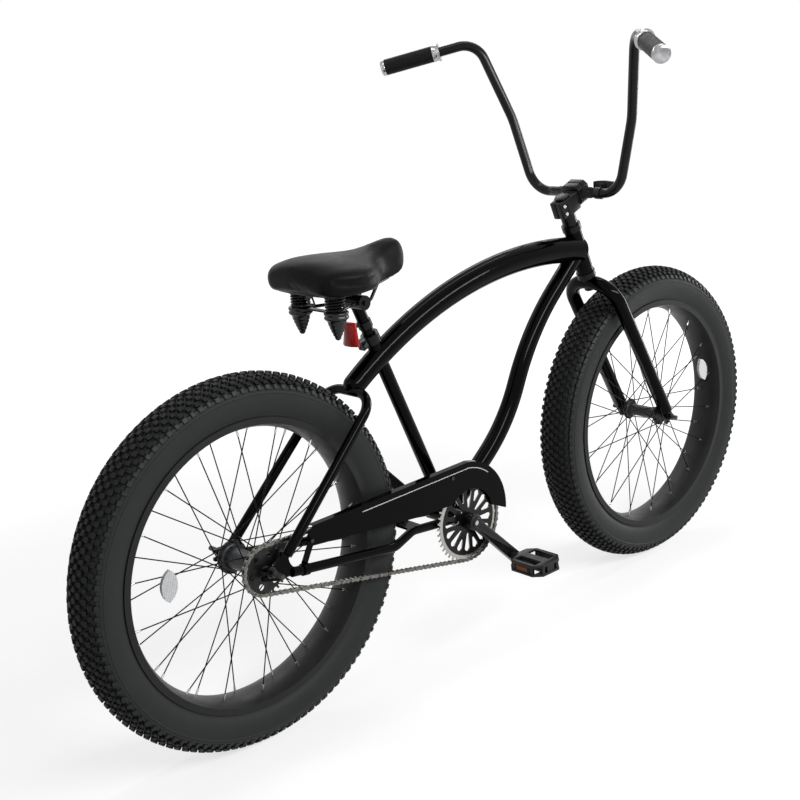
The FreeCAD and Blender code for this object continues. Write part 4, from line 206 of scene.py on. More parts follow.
def make_thread_finish():
    """Dark steel with a rolled thread: fine bands across the axle, which lies along Y."""
    material = finish("dark_threaded_steel", (0.07, 0.068, 0.066), (0.025, 0.024, 0.023), (0.3, 0.45), scale=90.0,
                      metallic=1.0)
    tree = material.node_tree
    place = add_node(tree, "ShaderNodeTexCoord")
    bands = add_node(tree, "ShaderNodeTexWave", {"Vector": place.outputs["Object"], "Scale": 230.0},
                     bands_direction="Y")
    bump = add_node(tree, "ShaderNodeBump", {"Strength": 0.8, "Distance": 0.0006, "Height": bands.outputs["Fac"]})
    tree.links.new(bump.outputs["Normal"], tree.nodes["Principled BSDF"].inputs["Normal"])
    return material


dress(make_thread_finish(), "front_axle", "rear_axle")

# Rear sprocket: a stamped steel ring of teeth, dark and oily.
# It sits on the driver beside the rear hub.
dress(finish("oiled_sprocket_steel", (0.032, 0.0315, 0.031), (0.012, 0.0117, 0.0115), (0.3, 0.5), amount=0.8,
             scale=60.0, relief_scale=700.0, metallic=1.0), "rear_sprocket")

# Chain: steel links of plates, rollers and pins, with a film of oil that darkens it in patches.
# It runs round the chainring and the rear sprocket.
dress(finish("oiled_chain_steel", (0.19, 0.184, 0.172), (0.035, 0.033, 0.030), (0.22, 0.4), amount=0.8, scale=160.0,
             relief_scale=900.0, metallic=1.0), "chain")

# Chainring: a pressed steel disc, black on its face, with its toothed rim and the walls of its slots
# left bright. It turns with the right crank.
RING_RIM = 0.0775
RING_BRIGHT = (0.40, 0.39, 0.37, 1)


def make_chainring_finish():
    material = finish("black_and_bright_ring", (0.003, 0.003, 0.003), (0.008, 0.008, 0.008), (0.14, 0.24), scale=40.0,
                      specular=0.2)
    tree = material.node_tree
    shader = tree.nodes["Principled BSDF"]
    low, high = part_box("chainring")
    centre = (Vector(low) + Vector(high)) / 2
    place = add_node(tree, "ShaderNodeTexCoord")
    offset = add_node(tree, "ShaderNodeVectorMath", {
        0: place.outputs["Object"], 1: (centre.x, 0.0, centre.z)}, operation="SUBTRACT")
    flat = add_node(tree, "ShaderNodeVectorMath", {
        0: offset.outputs["Vector"], 1: (1.0, 0.0, 1.0)}, operation="MULTIPLY")
    radius = add_node(tree, "ShaderNodeVectorMath", {0: flat.outputs["Vector"]}, operation="LENGTH")
    rim = add_node(tree, "ShaderNodeMath", {0: radius.outputs["Value"], 1: RING_RIM}, operation="GREATER_THAN")
    facing = add_node(tree, "ShaderNodeSeparateXYZ", {"Vector": place.outputs["Normal"]})
    aside = add_node(tree, "ShaderNodeMath", {0: facing.outputs["Y"]}, operation="ABSOLUTE")
    wall = add_node(tree, "ShaderNodeMath", {0: aside.outputs["Value"], 1: 0.5}, operation="LESS_THAN")
    bright = add_node(tree, "ShaderNodeMath", {0: rim.outputs["Value"], 1: wall.outputs["Value"]},
                      operation="MAXIMUM")
    black = shader.inputs["Base Color"].links[0].from_socket
    mixed = add_node(tree, "ShaderNodeMix", {"Factor": bright.outputs["Value"]}, data_type="RGBA")
    tree.links.new(black, mixed.inputs["A"])
    mixed.inputs["B"].default_value = RING_BRIGHT
    tree.links.new(mixed.outputs["Result"], shader.inputs["Base Color"])
    tree.links.new(bright.outputs["Value"], shader.inputs["Metallic"])
    return material


dress(make_chainring_finish(), "chainring")

# Cranks: forged arms with rounded edges in satin black, bolted to the ends of the spindle.
# A moulded plastic cap closes each boss.
FORGED_EDGE = 0.0022
CAP_OUTLINE = [(0.0, -0.0004), (0.0052, -0.0004), (0.0060, 0.0012), (0.0104, 0.0012), (0.0112, 0.0004),
               (0.0112, -0.0006), (0.0, -0.0006)]


def add_block(shape, size, place, bevel):
    """A box with rounded edges; returns everything that belongs to it."""
    made = bmesh.ops.create_cube(shape, size=1.0)
    bmesh.ops.scale(shape, vec=size, verts=made["verts"])
    edges = list({edge for vert in made["verts"] for edge in vert.link_edges})
    rounded = bmesh.ops.bevel(shape, geom=edges, offset=bevel, segments=1, profile=0.5, affect="EDGES", material=-1)
    verts = list({vert for face in rounded["faces"] for vert in face.verts})
    bmesh.ops.transform(shape, matrix=place, verts=verts)
    faces = list({face for vert in verts for face in vert.link_faces})
    edges = list({edge for vert in verts for edge in vert.link_edges})
    return verts + edges + faces


def rounded_copy(node, edge):
    """A copy of a node's mesh with its flat faces joined and its sharp edges rounded."""
    shape = joined_copy(node)
    bmesh.ops.dissolve_limit(shape, angle_limit=math.radians(2.0), verts=shape.verts, edges=shape.edges)
    sharp = [line for line in shape.edges if line.calc_face_angle(0.0) > math.radians(40.0)]
    bmesh.ops.bevel(shape, geom=sharp, offset=edge, segments=2, profile=0.5, affect="EDGES", material=-1)
    return shape


def make_crank_cap(side):
    low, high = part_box("crank_spindle")
    centre = (Vector(low) + Vector(high)) / 2
    face = min(low[1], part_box("crank_right")[0][1]) if side < 0 else max(high[1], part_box("crank_left")[1][1])
    shape = bmesh.new()
    verts = [shape.verts.new((centre.x + out, face + rise * side, centre.z)) for out, rise in CAP_OUTLINE]
    edges = [shape.edges.new(pair) for pair in zip(verts, verts[1:])]
    bmesh.ops.spin(shape, geom=verts + edges, cent=(centre.x, face, centre.z), axis=(0.0, 1.0, 0.0),
                   angle=2 * math.pi, steps=40, use_merge=True)
    bmesh.ops.remove_doubles(shape, verts=shape.verts, dist=1e-5)
    return make_piece(f"crank_cap_{'right' if side < 0 else 'left'}", shape, [moulded_black], "crank",
                      sharp=20.0)


moulded_black = finish("moulded_black_plastic", (0.005, 0.005, 0.0052), (0.012, 0.012, 0.0125), (0.3, 0.45),
                       scale=50.0, relief_scale=800.0, specular=0.25)
crank_black = finish("forged_satin_black", (0.004, 0.004, 0.0042), (0.010, 0.010, 0.0103), (0.2, 0.32), scale=26.0,
                     relief_scale=300.0, relief=0.0001, specular=0.25)
for hand, side in (("right", -1), ("left", 1)):
    make_piece(f"forged_crank_{hand}", rounded_copy(f"crank_{hand}", FORGED_EDGE), [crank_black], "crank",
               [f"crank_{hand}"])
    make_crank_cap(side)

# Pedals: black moulded cages of two plates over corner posts and a barrel, with grip studs along
# each rail and an amber lens let into the front and the back.
STUD = (0.0042, 0.0042, 0.0026)
STUDS_PER_RAIL = 5
STUD_PITCH = 0.0125
STUD_INSET, STUD_SINK, STUD_EDGE = 0.0055, 0.0002, 0.0007
PLATE = 0.0058
PLATE_EDGE = 0.0011
BARREL_RADIUS = 0.0112
BARREL_ROOM = 0.004
# The cage's posts and the lens holder: size, and how far each stands in from the pedal's sides.
END_POST, END_POST_INSET = (0.0085, 0.0085), (0.0062, 0.0225)
SIDE_POST, SIDE_POST_INSET = (0.0085, 0.0062), (0.0215, 0.0048)
POST_EDGE = 0.0012
LENS, LENS_INSET, LENS_EDGE = (0.0030, 0.0300, 0.0092), 0.0016, 0.0006
PRISM_SCALE = 260.0
PRISM_ROUGHNESS = 0.2
HOLDER_DEPTH, HOLDER_BORDER, HOLDER_INSET, HOLDER_EDGE = 0.0068, 0.008, 0.0052, 0.0010


def painted_facet_prism_material(name, colour, specular=0.3):
    """Moulded reflector plastic: small cells that each tilt the surface their own way, with painted highlight and
    shade.
    """
    material = bpy.data.materials.new(name)
    material.use_nodes = True
    tree = material.node_tree
    shader = tree.nodes["Principled BSDF"]
    shader.inputs["Roughness"].default_value = PRISM_ROUGHNESS
    shader.inputs["Specular IOR Level"].default_value = specular
    place = add_node(tree, "ShaderNodeTexCoord")
    cells = add_node(tree, "ShaderNodeTexVoronoi", {
        "Vector": place.outputs["Object"], "Scale": PRISM_SCALE, "Randomness": 0.15})
    # Painted highlight and shade: the colour rises to 1.15 of itself at each cell's middle and falls to 0.55 at its
    # edge.
    shade = add_node(tree, "ShaderNodeMapRange", {
        "Value": cells.outputs["Distance"], "From Max": 0.7, "To Min": 1.15, "To Max": 0.55})
    painted_facet_tint = add_node(tree, "ShaderNodeVectorMath", {0: colour, "Scale": shade.outputs["Result"]}, operation="SCALE")
    bump = add_node(tree, "ShaderNodeBump", {
        "Strength": 0.6, "Distance": 0.0012, "Height": cells.outputs["Distance"]})
    tree.links.new(painted_facet_tint.outputs["Vector"], shader.inputs["Base Color"])
    tree.links.new(bump.outputs["Normal"], shader.inputs["Normal"])
    return material


def add_pedal_plate(shape, hand, level):
    """The cage's top or bottom layer, sliced from the node and closed again."""
    low, high = (Vector(corner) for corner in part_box(f"pedal_{hand}"))
    cut_height = high.z - PLATE if level > 0 else low.z + PLATE
    layer = joined_copy(f"pedal_{hand}")
    sliced = bmesh.ops.bisect_plane(layer, geom=layer.verts[:] + layer.edges[:] + layer.faces[:],
                                    plane_co=(0.0, 0.0, cut_height), plane_no=(0.0, 0.0, level), clear_inner=True)
    rim = [item for item in sliced["geom_cut"] if isinstance(item, bmesh.types.BMEdge)]
    bmesh.ops.triangle_fill(layer, edges=rim, use_beauty=True)
    bmesh.ops.dissolve_limit(layer, angle_limit=math.radians(2.0), verts=layer.verts, edges=layer.edges)
    sharp = [line for line in layer.edges if line.calc_face_angle(0.0) > math.radians(40.0)]
    bmesh.ops.bevel(layer, geom=sharp, offset=PLATE_EDGE, segments=2, profile=0.5, affect="EDGES", material=-1)
    mesh = bpy.data.meshes.new("pedal_plate")
    layer.to_mesh(mesh)
    layer.free()
    shape.from_mesh(mesh)
    bpy.data.meshes.remove(mesh)


def make_pedal(hand, materials):
    low, high = (Vector(corner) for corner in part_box(f"pedal_{hand}"))
    centre = (low + high) / 2
    half = (high - low) / 2
    shape = bmesh.new()
    for level in (-1, 1):
        add_pedal_plate(shape, hand, level)
    barrel = bmesh.ops.create_cone(shape, cap_ends=True, segments=32, radius1=BARREL_RADIUS, radius2=BARREL_RADIUS,
                                   depth=half.y * 2 - BARREL_ROOM)
    bmesh.ops.rotate(shape, verts=barrel["verts"], cent=(0, 0, 0), matrix=Matrix.Rotation(math.pi / 2, 3, "X"))
    bmesh.ops.translate(shape, verts=barrel["verts"], vec=centre)
    tall = half.z * 2 - PLATE * 1.6
    for end in (-1, 1):
        for side in (-1, 1):
            spot = centre + Vector((end * (half.x - END_POST_INSET[0]), side * (half.y - END_POST_INSET[1]), 0.0))
            add_block(shape, (*END_POST, tall), Matrix.Translation(spot), POST_EDGE)
            spot = centre + Vector((end * (half.x - SIDE_POST_INSET[0]), side * (half.y - SIDE_POST_INSET[1]), 0.0))
            add_block(shape, (*SIDE_POST, tall), Matrix.Translation(spot), POST_EDGE)
        holder = centre + Vector((end * (half.x - HOLDER_INSET), 0.0, 0.0))
        add_block(shape, (HOLDER_DEPTH, LENS[1] + HOLDER_BORDER, tall), Matrix.Translation(holder), HOLDER_EDGE)
        face = centre + Vector((end * (half.x - LENS_INSET), 0.0, 0.0))
        lens = add_block(shape, LENS, Matrix.Translation(face), LENS_EDGE)
        for item in lens:
            if isinstance(item, bmesh.types.BMFace):
                item.material_index = 1
        for level in (-1, 1):
            for step in range(STUDS_PER_RAIL):
                along = STUD_PITCH * (step - (STUDS_PER_RAIL - 1) / 2)
                spot = centre + Vector((end * (half.x - STUD_INSET), along,
                                        level * (half.z - STUD[2] / 2 - STUD_SINK)))
                add_block(shape, STUD, Matrix.Translation(spot), STUD_EDGE)
    return make_piece(f"caged_pedal_{hand}", shape, materials, f"pedal_{hand}_body", [f"pedal_{hand}"])


amber = painted_facet_prism_material("amber_prism_plastic", (0.36, 0.10, 0.006), specular=0.15)
make_pedal("right", [moulded_black, amber])
make_pedal("left", [moulded_black, amber])

# Hubs: dark grey turned barrels. Spokes: black plain gauge wire, hooked in the hubs' flanges and drawn
# tight by the nipples. Rims: satin black extrusions, each with a soft rubber inner tube.
hub_grey = finish("grey_hub_shell", (0.030, 0.031, 0.034), (0.055, 0.055, 0.058), (0.3, 0.45), scale=50.0,
                  metallic=0.5, specular=0.3)
smooth(hub_grey, "front_wheel", "grey_hub", "front_hub")
smooth(hub_grey, "rear_wheel", "grey_hub", "rear_hub")
dress(finish("black_spoke_wire", (0.002, 0.002, 0.002), (0.006, 0.006, 0.006), (0.3, 0.45), scale=80.0,
             specular=0.06), "front_spokes", "rear_spokes")
dress(finish("satin_black_rim", (0.009, 0.0092, 0.0095), (0.017, 0.0173, 0.0176), (0.34, 0.48), scale=20.0,
             relief_scale=300.0, specular=0.2), "front_rim", "rear_rim")
rubber = finish("soft_black_rubber", (0.006, 0.006, 0.006), (0.016, 0.016, 0.016), (0.4, 0.55), scale=60.0,
                relief_scale=700.0, specular=0.3)
dress(rubber, "front_inner_tube", "rear_inner_tube")

# Wheel reflectors: clear moulded plastic ovals with a field of small prisms.
# Each is clipped to the spokes of its wheel.
clear_prism = painted_facet_prism_material("clear_prism_plastic", (0.84, 0.86, 0.88))
dress(clear_prism, "front_wheel_reflector", "rear_wheel_reflector")

# Tyres: thick moulded rubber, with rows of square knobs over the crown, small blocks down the
# shoulders and plain ribbed side walls. They are stretched over the rims.
CROWN_RADIUS = 0.0582
CROWN_CENTRE = 0.3118
KNOB_HEIGHT = 0.0065
TREAD_PITCHES = 58
TREAD_EDGE = 0.349
TREAD_TURN = math.radians(48.0)
WALL_STEPS = 168
KNOB_SINK, KNOB_FOOT, KNOB_EDGE = 0.0008, 0.001, 0.0011
SIDE_OUTLINE = [(0.2885, 0.0367), (0.296, 0.0412), (0.306, 0.0453), (0.318, 0.0480), (0.329, 0.0486),
                (0.3325, 0.0484), (0.3332, 0.0490), (0.3344, 0.0490), (0.3351, 0.0480), (0.3385, 0.0474),
                (0.3392, 0.0479), (0.3404, 0.0478), (0.3411, 0.0467), (0.3460, 0.0440)]
INNER_OUTLINE = [(0.2805, 0.0367), (0.2805, 0.0290), (0.300, 0.0380), (0.325, 0.0420), (0.345, 0.0360),
                 (0.3575, 0.0180), (0.360, 0.0), (0.3575, -0.0180), (0.345, -0.0360), (0.325, -0.0420),
                 (0.300, -0.0380), (0.2805, -0.0290), (0.2805, -0.0367)]
# Each knob: place across the crown and along one pitch, then its width, length and height.
KNOBS = [
    (0.0062, 0.00, 0.0098, 0.0112, 1.0), (-0.0062, 0.25, 0.0098, 0.0112, 1.0),
    (0.0058, 0.50, 0.0088, 0.0096, 0.95), (-0.0058, 0.75, 0.0088, 0.0096, 0.95),
    (0.0182, 0.27, 0.0094, 0.0094, 0.97), (-0.0182, 0.02, 0.0094, 0.0094, 0.97),
    (0.0178, 0.77, 0.0086, 0.0112, 1.0), (-0.0178, 0.52, 0.0086, 0.0112, 1.0),
    (0.0300, 0.03, 0.0092, 0.0106, 1.0), (-0.0300, 0.28, 0.0092, 0.0106, 1.0),
    (0.0304, 0.53, 0.0084, 0.0092, 0.95), (-0.0304, 0.78, 0.0084, 0.0092, 0.95),
    (0.0420, 0.27, 0.0084, 0.0112, 1.0), (-0.0420, 0.02, 0.0084, 0.0112, 1.0),
    (0.0412, 0.77, 0.0090, 0.0092, 0.97), (-0.0412, 0.52, 0.0090, 0.0092, 0.97),
]
# The blocks low on each shoulder: place along one pitch, and length.
SHOULDER_BLOCKS = [(0.0, 0.0105), (0.5, 0.0082)]
SHOULDER_RADIUS, SHOULDER_ACROSS = 0.3455, 0.0452
SHOULDER_LEAN = math.radians(62.0)
SHOULDER_HEIGHT, SHOULDER_WIDTH, SHOULDER_EDGE = 0.0042, 0.0095, 0.0010
SHOULDER_STAGGER = 0.25


def tyre_outline():
    """The wall's closed section as (radius, across), round the outside and back along the inside."""
    base = CROWN_RADIUS - KNOB_HEIGHT
    tread = []
    for step in range(-8, 9):
        turn = TREAD_TURN * step / 8
        tread.append((CROWN_CENTRE + base * math.cos(turn), base * math.sin(turn)))
    right = [(radius, -across) for radius, across in SIDE_OUTLINE]
    return right + tread + SIDE_OUTLINE[::-1] + INNER_OUTLINE


def make_tyre(end, materials):
    low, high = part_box(f"{end}_tyre")
    axle = (Vector(low) + Vector(high)) / 2
    axis = Vector((0.0, 1.0, 0.0))
    shape = bmesh.new()
    verts = [shape.verts.new(axle + Vector((radius, across, 0.0))) for radius, across in tyre_outline()]
    edges = [shape.edges.new(pair) for pair in zip(verts, verts[1:] + verts[:1])]
    bmesh.ops.spin(shape, geom=verts + edges, cent=axle, axis=axis, angle=2 * math.pi, steps=WALL_STEPS,
                   use_merge=True)
    pitch = 2 * math.pi / TREAD_PITCHES
    for across, along, width, length, tall in KNOBS:
        lean = across / CROWN_RADIUS
        stand = (Matrix.Translation(axle) @ Matrix.Rotation(pitch * along, 4, "Y")
                 @ Matrix.Translation((CROWN_CENTRE, 0.0, 0.0)) @ Matrix.Rotation(lean, 4, "Z")
                 @ Matrix.Translation((CROWN_RADIUS - KNOB_HEIGHT / 2 - KNOB_SINK, 0.0, 0.0)))
        knob = add_block(shape, (KNOB_HEIGHT * tall + KNOB_FOOT, width, length), stand, KNOB_EDGE)
        bmesh.ops.spin(shape, geom=knob, cent=axle, axis=axis, angle=pitch * (TREAD_PITCHES - 1),
                       steps=TREAD_PITCHES - 1, use_duplicate=True)
    for side in (-1, 1):
        for along, length in SHOULDER_BLOCKS:
            turn = pitch * (along + (SHOULDER_STAGGER if side > 0 else 0.0))
            stand = (Matrix.Translation(axle) @ Matrix.Rotation(turn, 4, "Y")
                     @ Matrix.Translation((SHOULDER_RADIUS, SHOULDER_ACROSS * side, 0.0))
                     @ Matrix.Rotation(SHOULDER_LEAN * side, 4, "Z"))
            block = add_block(shape, (SHOULDER_HEIGHT, SHOULDER_WIDTH, length), stand, SHOULDER_EDGE)
            bmesh.ops.spin(shape, geom=block, cent=axle, axis=axis, angle=pitch * (TREAD_PITCHES - 1),
                           steps=TREAD_PITCHES - 1, use_duplicate=True)
    for face in shape.faces:
        spot = face.calc_center_median() - axle
        if math.hypot(spot.x, spot.z) > TREAD_EDGE:
            face.material_index = 1
    return make_piece(f"{end}_knobbed_tyre", shape, materials, f"{end}_wheel", [f"{end}_tyre"])


side_rubber = finish("side_wall_rubber", (0.012, 0.0128, 0.013), (0.019, 0.0202, 0.0206), (0.45, 0.62), amount=0.6,
                     scale=22.0, relief_scale=650.0, specular=0.22)
tread_rubber = finish("tread_rubber", (0.0065, 0.0068, 0.007), (0.013, 0.0135, 0.014), (0.5, 0.66), amount=0.6,
                      scale=30.0, relief_scale=800.0, specular=0.16)
make_tyre("front", [side_rubber, tread_rubber])
make_tyre("rear", [side_rubber, tread_rubber])

# Guard stripe: a thin silver line of varnished paint along the guard's top edge, which ends where the
# nose turns down.
STRIPE_INSET = 0.0125
STRIPE_WIDTH = 0.0018
STRIPE_LIFT = 0.00025
STRIPE_THICKNESS = 0.0004
STRIPE_ROUND = math.radians(34.0)
STRIPE_STEPS = 24
# The guard's nose, from the chainring's middle: the ends of its arc, and how far the arc bows out.
NOSE_FOOT = Vector((0.113, -0.002))
NOSE_TOP = Vector((0.003, 0.133))
NOSE_BOW = 0.036
STRIPE_TAIL = Vector((-0.300, 0.1238))


def make_guard_stripe():
    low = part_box("chain_guard")[0]
    ring_low, ring_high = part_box("chainring")
    centre = (Vector(ring_low) + Vector(ring_high)) / 2
    side = low[1] - STRIPE_LIFT
    middle = (NOSE_FOOT + NOSE_TOP) / 2
    outward = Vector((NOSE_TOP.y - NOSE_FOOT.y, NOSE_FOOT.x - NOSE_TOP.x)).normalized()
    half = (NOSE_TOP - NOSE_FOOT).length / 2
    radius = (half * half + NOSE_BOW * NOSE_BOW) / (2 * NOSE_BOW)
    hub = middle + outward * (NOSE_BOW - radius)
    finish_turn = math.atan2(NOSE_TOP.y - hub.y, NOSE_TOP.x - hub.x)
    start = finish_turn - STRIPE_ROUND
    inner = []
    outer = []
    for step in range(STRIPE_STEPS + 1):
        turn = start + (finish_turn - start) * step / STRIPE_STEPS
        way = Vector((math.cos(turn), math.sin(turn)))
        outer.append(hub + way * (radius - STRIPE_INSET))
        inner.append(hub + way * (radius - STRIPE_INSET - STRIPE_WIDTH))
    last = STRIPE_TAIL - Vector((0.0, STRIPE_INSET))
    outer.append(last)
    inner.append(last - Vector((0.0, STRIPE_WIDTH)))
    shape = bmesh.new()
    rows = [[shape.verts.new((centre.x + p.x, side, centre.z + p.y)) for p in line] for line in (outer, inner)]
    strip = [shape.faces.new(corners) for corners in zip(rows[0], rows[0][1:], rows[1][1:], rows[1])]
    raised = bmesh.ops.extrude_face_region(shape, geom=strip)
    lifted = [item for item in raised["geom"] if isinstance(item, bmesh.types.BMVert)]
    bmesh.ops.translate(shape, verts=lifted, vec=(0.0, STRIPE_THICKNESS, 0.0))
    silver = finish("silver_stripe_paint", (0.55, 0.55, 0.56), (0.42, 0.42, 0.43), (0.25, 0.4), scale=60.0)
    return make_piece("guard_stripe", shape, [silver], "frame")


make_guard_stripe()

# Handlebar: one bent tube in gloss black, worn a little duller than the frame. The stem and its
# face plate are cast blocks with a satin black coat.
smooth(finish("bar_black_lacquer", (0.004, 0.004, 0.0042), (0.010, 0.010, 0.0105), (0.16, 0.28), scale=16.0,
             relief_scale=120.0, relief=0.0001, specular=0.16), "steering", "black_paint", "handlebar")
CAST_EDGE = 0.0012
cast_black = finish("cast_satin_black", (0.0035, 0.0035, 0.0038), (0.008, 0.008, 0.0084), (0.28, 0.40), scale=60.0,
                    relief_scale=900.0, specular=0.18)
for name in ("stem", "stem_faceplate"):
    make_piece(f"cast_{name}", rounded_copy(name, CAST_EDGE), [cast_black], "steering", [name])


def mark_solid(shape, reach):
    """Give the second material to the one solid of a shape that reaches furthest by the given measure."""
    first = max(shape.verts, key=lambda vert: reach(vert.co))
    found = {first}
    edge = [first]
    while edge:
        vert = edge.pop()
        for line in vert.link_edges:
            other = line.other_vert(vert)
            if other not in found:
                found.add(other)
                edge.append(other)
    for vert in found:
        for face in vert.link_faces:
            face.material_index = 1


# Stem fittings: four face bolts and two pinch bolts of bright zinc plated steel, and a black cap on the
# steerer's top.
FITTING_EDGE = 0.0006
fittings = rounded_copy("stem_fittings", FITTING_EDGE)
mark_solid(fittings, lambda place: place.z - 3 * abs(place.y))
make_piece("stem_bolts_and_cap", fittings, [zinc, cast_black], "steering", ["stem_fittings"])

# Grips: straight sleeves of dense black foam rubber, pushed on to the bar's ends. Each sits between a
# flared bright collar and a bright cap.
GRIP_ROOT = Vector((0.2438, 0.3053, 1.2795))
GRIP_WAY = Vector((-0.62977, 0.74951, -0.20401))
GRIP_OUTLINE = [(0.0113, 0.0), (0.0178, 0.0), (0.0184, 0.0008), (0.0184, 0.1142), (0.0178, 0.115), (0.0113, 0.115),
                (0.0113, 0.0)]
COLLAR_OUTLINE = [(0.0113, -0.017), (0.0213, -0.017), (0.0220, -0.0163), (0.0218, -0.0150), (0.0196, -0.0120),
                  (0.0188, -0.0090), (0.0188, -0.0050), (0.0196, -0.0044), (0.0196, -0.0008), (0.0190, -0.0001),
                  (0.0113, -0.0001), (0.0113, -0.017)]
GRIP_CAP_OUTLINE = [(0.0, 0.1151), (0.0181, 0.1151), (0.0187, 0.1157), (0.0187, 0.1212), (0.0180, 0.1232),
                    (0.0160, 0.1246), (0.0120, 0.1258), (0.0060, 0.1266), (0.0, 0.1268)]


def add_turned(shape, outline, root, way):
    """Spin an outline of (radius, along) pairs a full turn about a line."""
    aside = way.orthogonal().normalized()
    verts = [shape.verts.new(root + way * along + aside * out) for out, along in outline]
    edges = [shape.edges.new(pair) for pair in zip(verts, verts[1:])]
    bmesh.ops.spin(shape, geom=verts + edges, cent=root, axis=way, angle=2 * math.pi, steps=56, use_merge=True)
    bmesh.ops.remove_doubles(shape, verts=shape.verts, dist=1e-5)


def make_grip_parts(name, outlines, material, replaced):
    shape = bmesh.new()
    for side in (-1, 1):
        mirror = Vector((1.0, side, 1.0))
        for outline in outlines:
            add_turned(shape, outline, GRIP_ROOT * mirror, (GRIP_WAY * mirror).normalized())
    return make_piece(name, shape, [material], "steering", [replaced])


make_grip_parts("foam_grips", [GRIP_OUTLINE], finish(
    "grip_foam_rubber", (0.007, 0.007, 0.0072), (0.010, 0.010, 0.0102), (0.42, 0.55), scale=120.0,
    relief_scale=1400.0, relief=0.00006, specular=0.09), "grips")
make_grip_parts("plated_grip_trim", [COLLAR_OUTLINE, GRIP_CAP_OUTLINE], finish(
    "bright_plating", (0.42, 0.42, 0.43), (0.16, 0.16, 0.165), (0.10, 0.20), amount=0.8, scale=60.0, metallic=1.0,
    relief_scale=200.0, relief=0.00005), "grip_chrome")

# Front reflector: a black moulded housing with a clear lens of prisms in front.
# It is held by a band round the bar.
lamp = joined_copy("front_reflector")
mark_solid(lamp, lambda place: place.x)
make_piece("lensed_front_reflector", lamp, [moulded_black, clear_prism], "steering", ["front_reflector"])

# Saddle underside: black base, sprung rails, clamp drum and coil springs. Below each coil hangs a
# moulded boot with two rings and a ribbed cone, and a slotted tab hangs from the base's rear.
COIL_RADIUS = 0.018
COIL_WIRE = 0.0022
COIL_TURNS = 5
BOOT_COLLAR = 0.0244
BOOT_SHOULDER = 0.0188
BOOT_TIP = 0.0056
BOOT_RIBS = 5
BOOT_LAP = 0.0015
BOOT_AXIS = 0.0245
# The boot's two rings: how far each crest lies below its top, how far it swells, and its step in height.
BOOT_RING_DROPS = (0.004, 0.012)
BOOT_RING_SWELL, BOOT_RING_STEP = 0.0026, 0.0017
BOOT_NECK = 0.017
BOOT_RIB_SWELL = 0.0005
# The tab: its place from the base's low corner, its slope, and its four bars round the slot.
TAB_PLACE = Vector((0.004, -0.022, -0.0085))
TAB_SLOPE = math.radians(-18.0)
TAB_EDGE = 0.0006
TAB_BARS = [((0.0022, 0.0045, 0.019), (0.0, -0.0088, 0.0)), ((0.0022, 0.0045, 0.019), (0.0, 0.0088, 0.0)),
            ((0.0022, 0.0220, 0.0045), (0.0, 0.0, -0.0085)), ((0.0022, 0.0220, 0.0060), (0.0, 0.0, 0.0080))]


def make_springs():
    """Two coils of round wire, close wound."""
    low, high = (Vector(corner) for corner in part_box("saddle_springs"))
    shape = bmesh.new()
    for side in (-1, 1):
        centre = Vector(((low.x + high.x) / 2, side * (high.y - (high.x - low.x) / 2), low.z + COIL_WIRE))
        ring = bmesh.ops.create_circle(shape, segments=10, radius=COIL_WIRE)
        tip = Matrix.Translation(centre + Vector((COIL_RADIUS, 0.0, 0.0))) @ Matrix.Rotation(math.pi / 2, 4, "X")
        bmesh.ops.transform(shape, matrix=tip, verts=ring["verts"])
        lines = list({line for vert in ring["verts"] for line in vert.link_edges})
        steps = COIL_TURNS * 32
        climb = (high.z - low.z - COIL_WIRE * 2) / steps
        bmesh.ops.spin(shape, geom=ring["verts"] + lines, cent=centre, axis=(0.0, 0.0, 1.0), dvec=(0.0, 0.0, climb),
                       angle=2 * math.pi * COIL_TURNS, steps=steps)
    bmesh.ops.holes_fill(shape, edges=[line for line in shape.edges if line.is_boundary], sides=0)
    return make_piece("wound_springs", shape, [satin_steel], "seat", ["saddle_springs"])


def boot_outline(top, foot):
    """The boot's half section from the middle of its top: two round rings, a step in, a ribbed cone and its tip."""
    points = [(0.0, top), (BOOT_COLLAR - 0.003, top)]
    for drop in BOOT_RING_DROPS:
        for step in range(-2, 3):
            swell = math.cos(math.radians(36.0) * step)
            points.append((BOOT_COLLAR - BOOT_RING_SWELL * (1 - swell), top - drop - BOOT_RING_STEP * step))
    shoulder = top - BOOT_NECK
    points.append((BOOT_SHOULDER + 0.001, shoulder))
    for step in range(BOOT_RIBS * 4 + 1):
        share = step / (BOOT_RIBS * 4)
        rib = BOOT_RIB_SWELL * math.cos(2 * math.pi * share * BOOT_RIBS)
        points.append((BOOT_SHOULDER + (BOOT_TIP - BOOT_SHOULDER) * share ** 1.25 + rib,
                       shoulder - 0.001 + (foot + 0.004 - shoulder + 0.001) * share))
    points += [(BOOT_TIP * 0.8, foot + 0.002), (BOOT_TIP * 0.4, foot + 0.0005), (0.0, foot)]
    return points


def make_boots():
    low, high = (Vector(corner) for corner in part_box("spring_boots"))
    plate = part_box("saddle_springs")[0][2]
    outline = boot_outline(plate + BOOT_LAP, low.z)
    shape = bmesh.new()
    for side in (-1, 1):
        centre = Vector(((low.x + high.x) / 2, side * (high.y - BOOT_AXIS), 0.0))
        verts = [shape.verts.new(centre + Vector((out, 0.0, rise))) for out, rise in outline]
        edges = [shape.edges.new(pair) for pair in zip(verts, verts[1:])]
        bmesh.ops.spin(shape, geom=verts + edges, cent=centre, axis=(0.0, 0.0, 1.0), angle=2 * math.pi, steps=40,
                       use_merge=True)
    bmesh.ops.remove_doubles(shape, verts=shape.verts, dist=1e-5)
    return make_piece("ringed_boots", shape, [boot_rubber], "seat", ["spring_boots"], sharp=60.0)


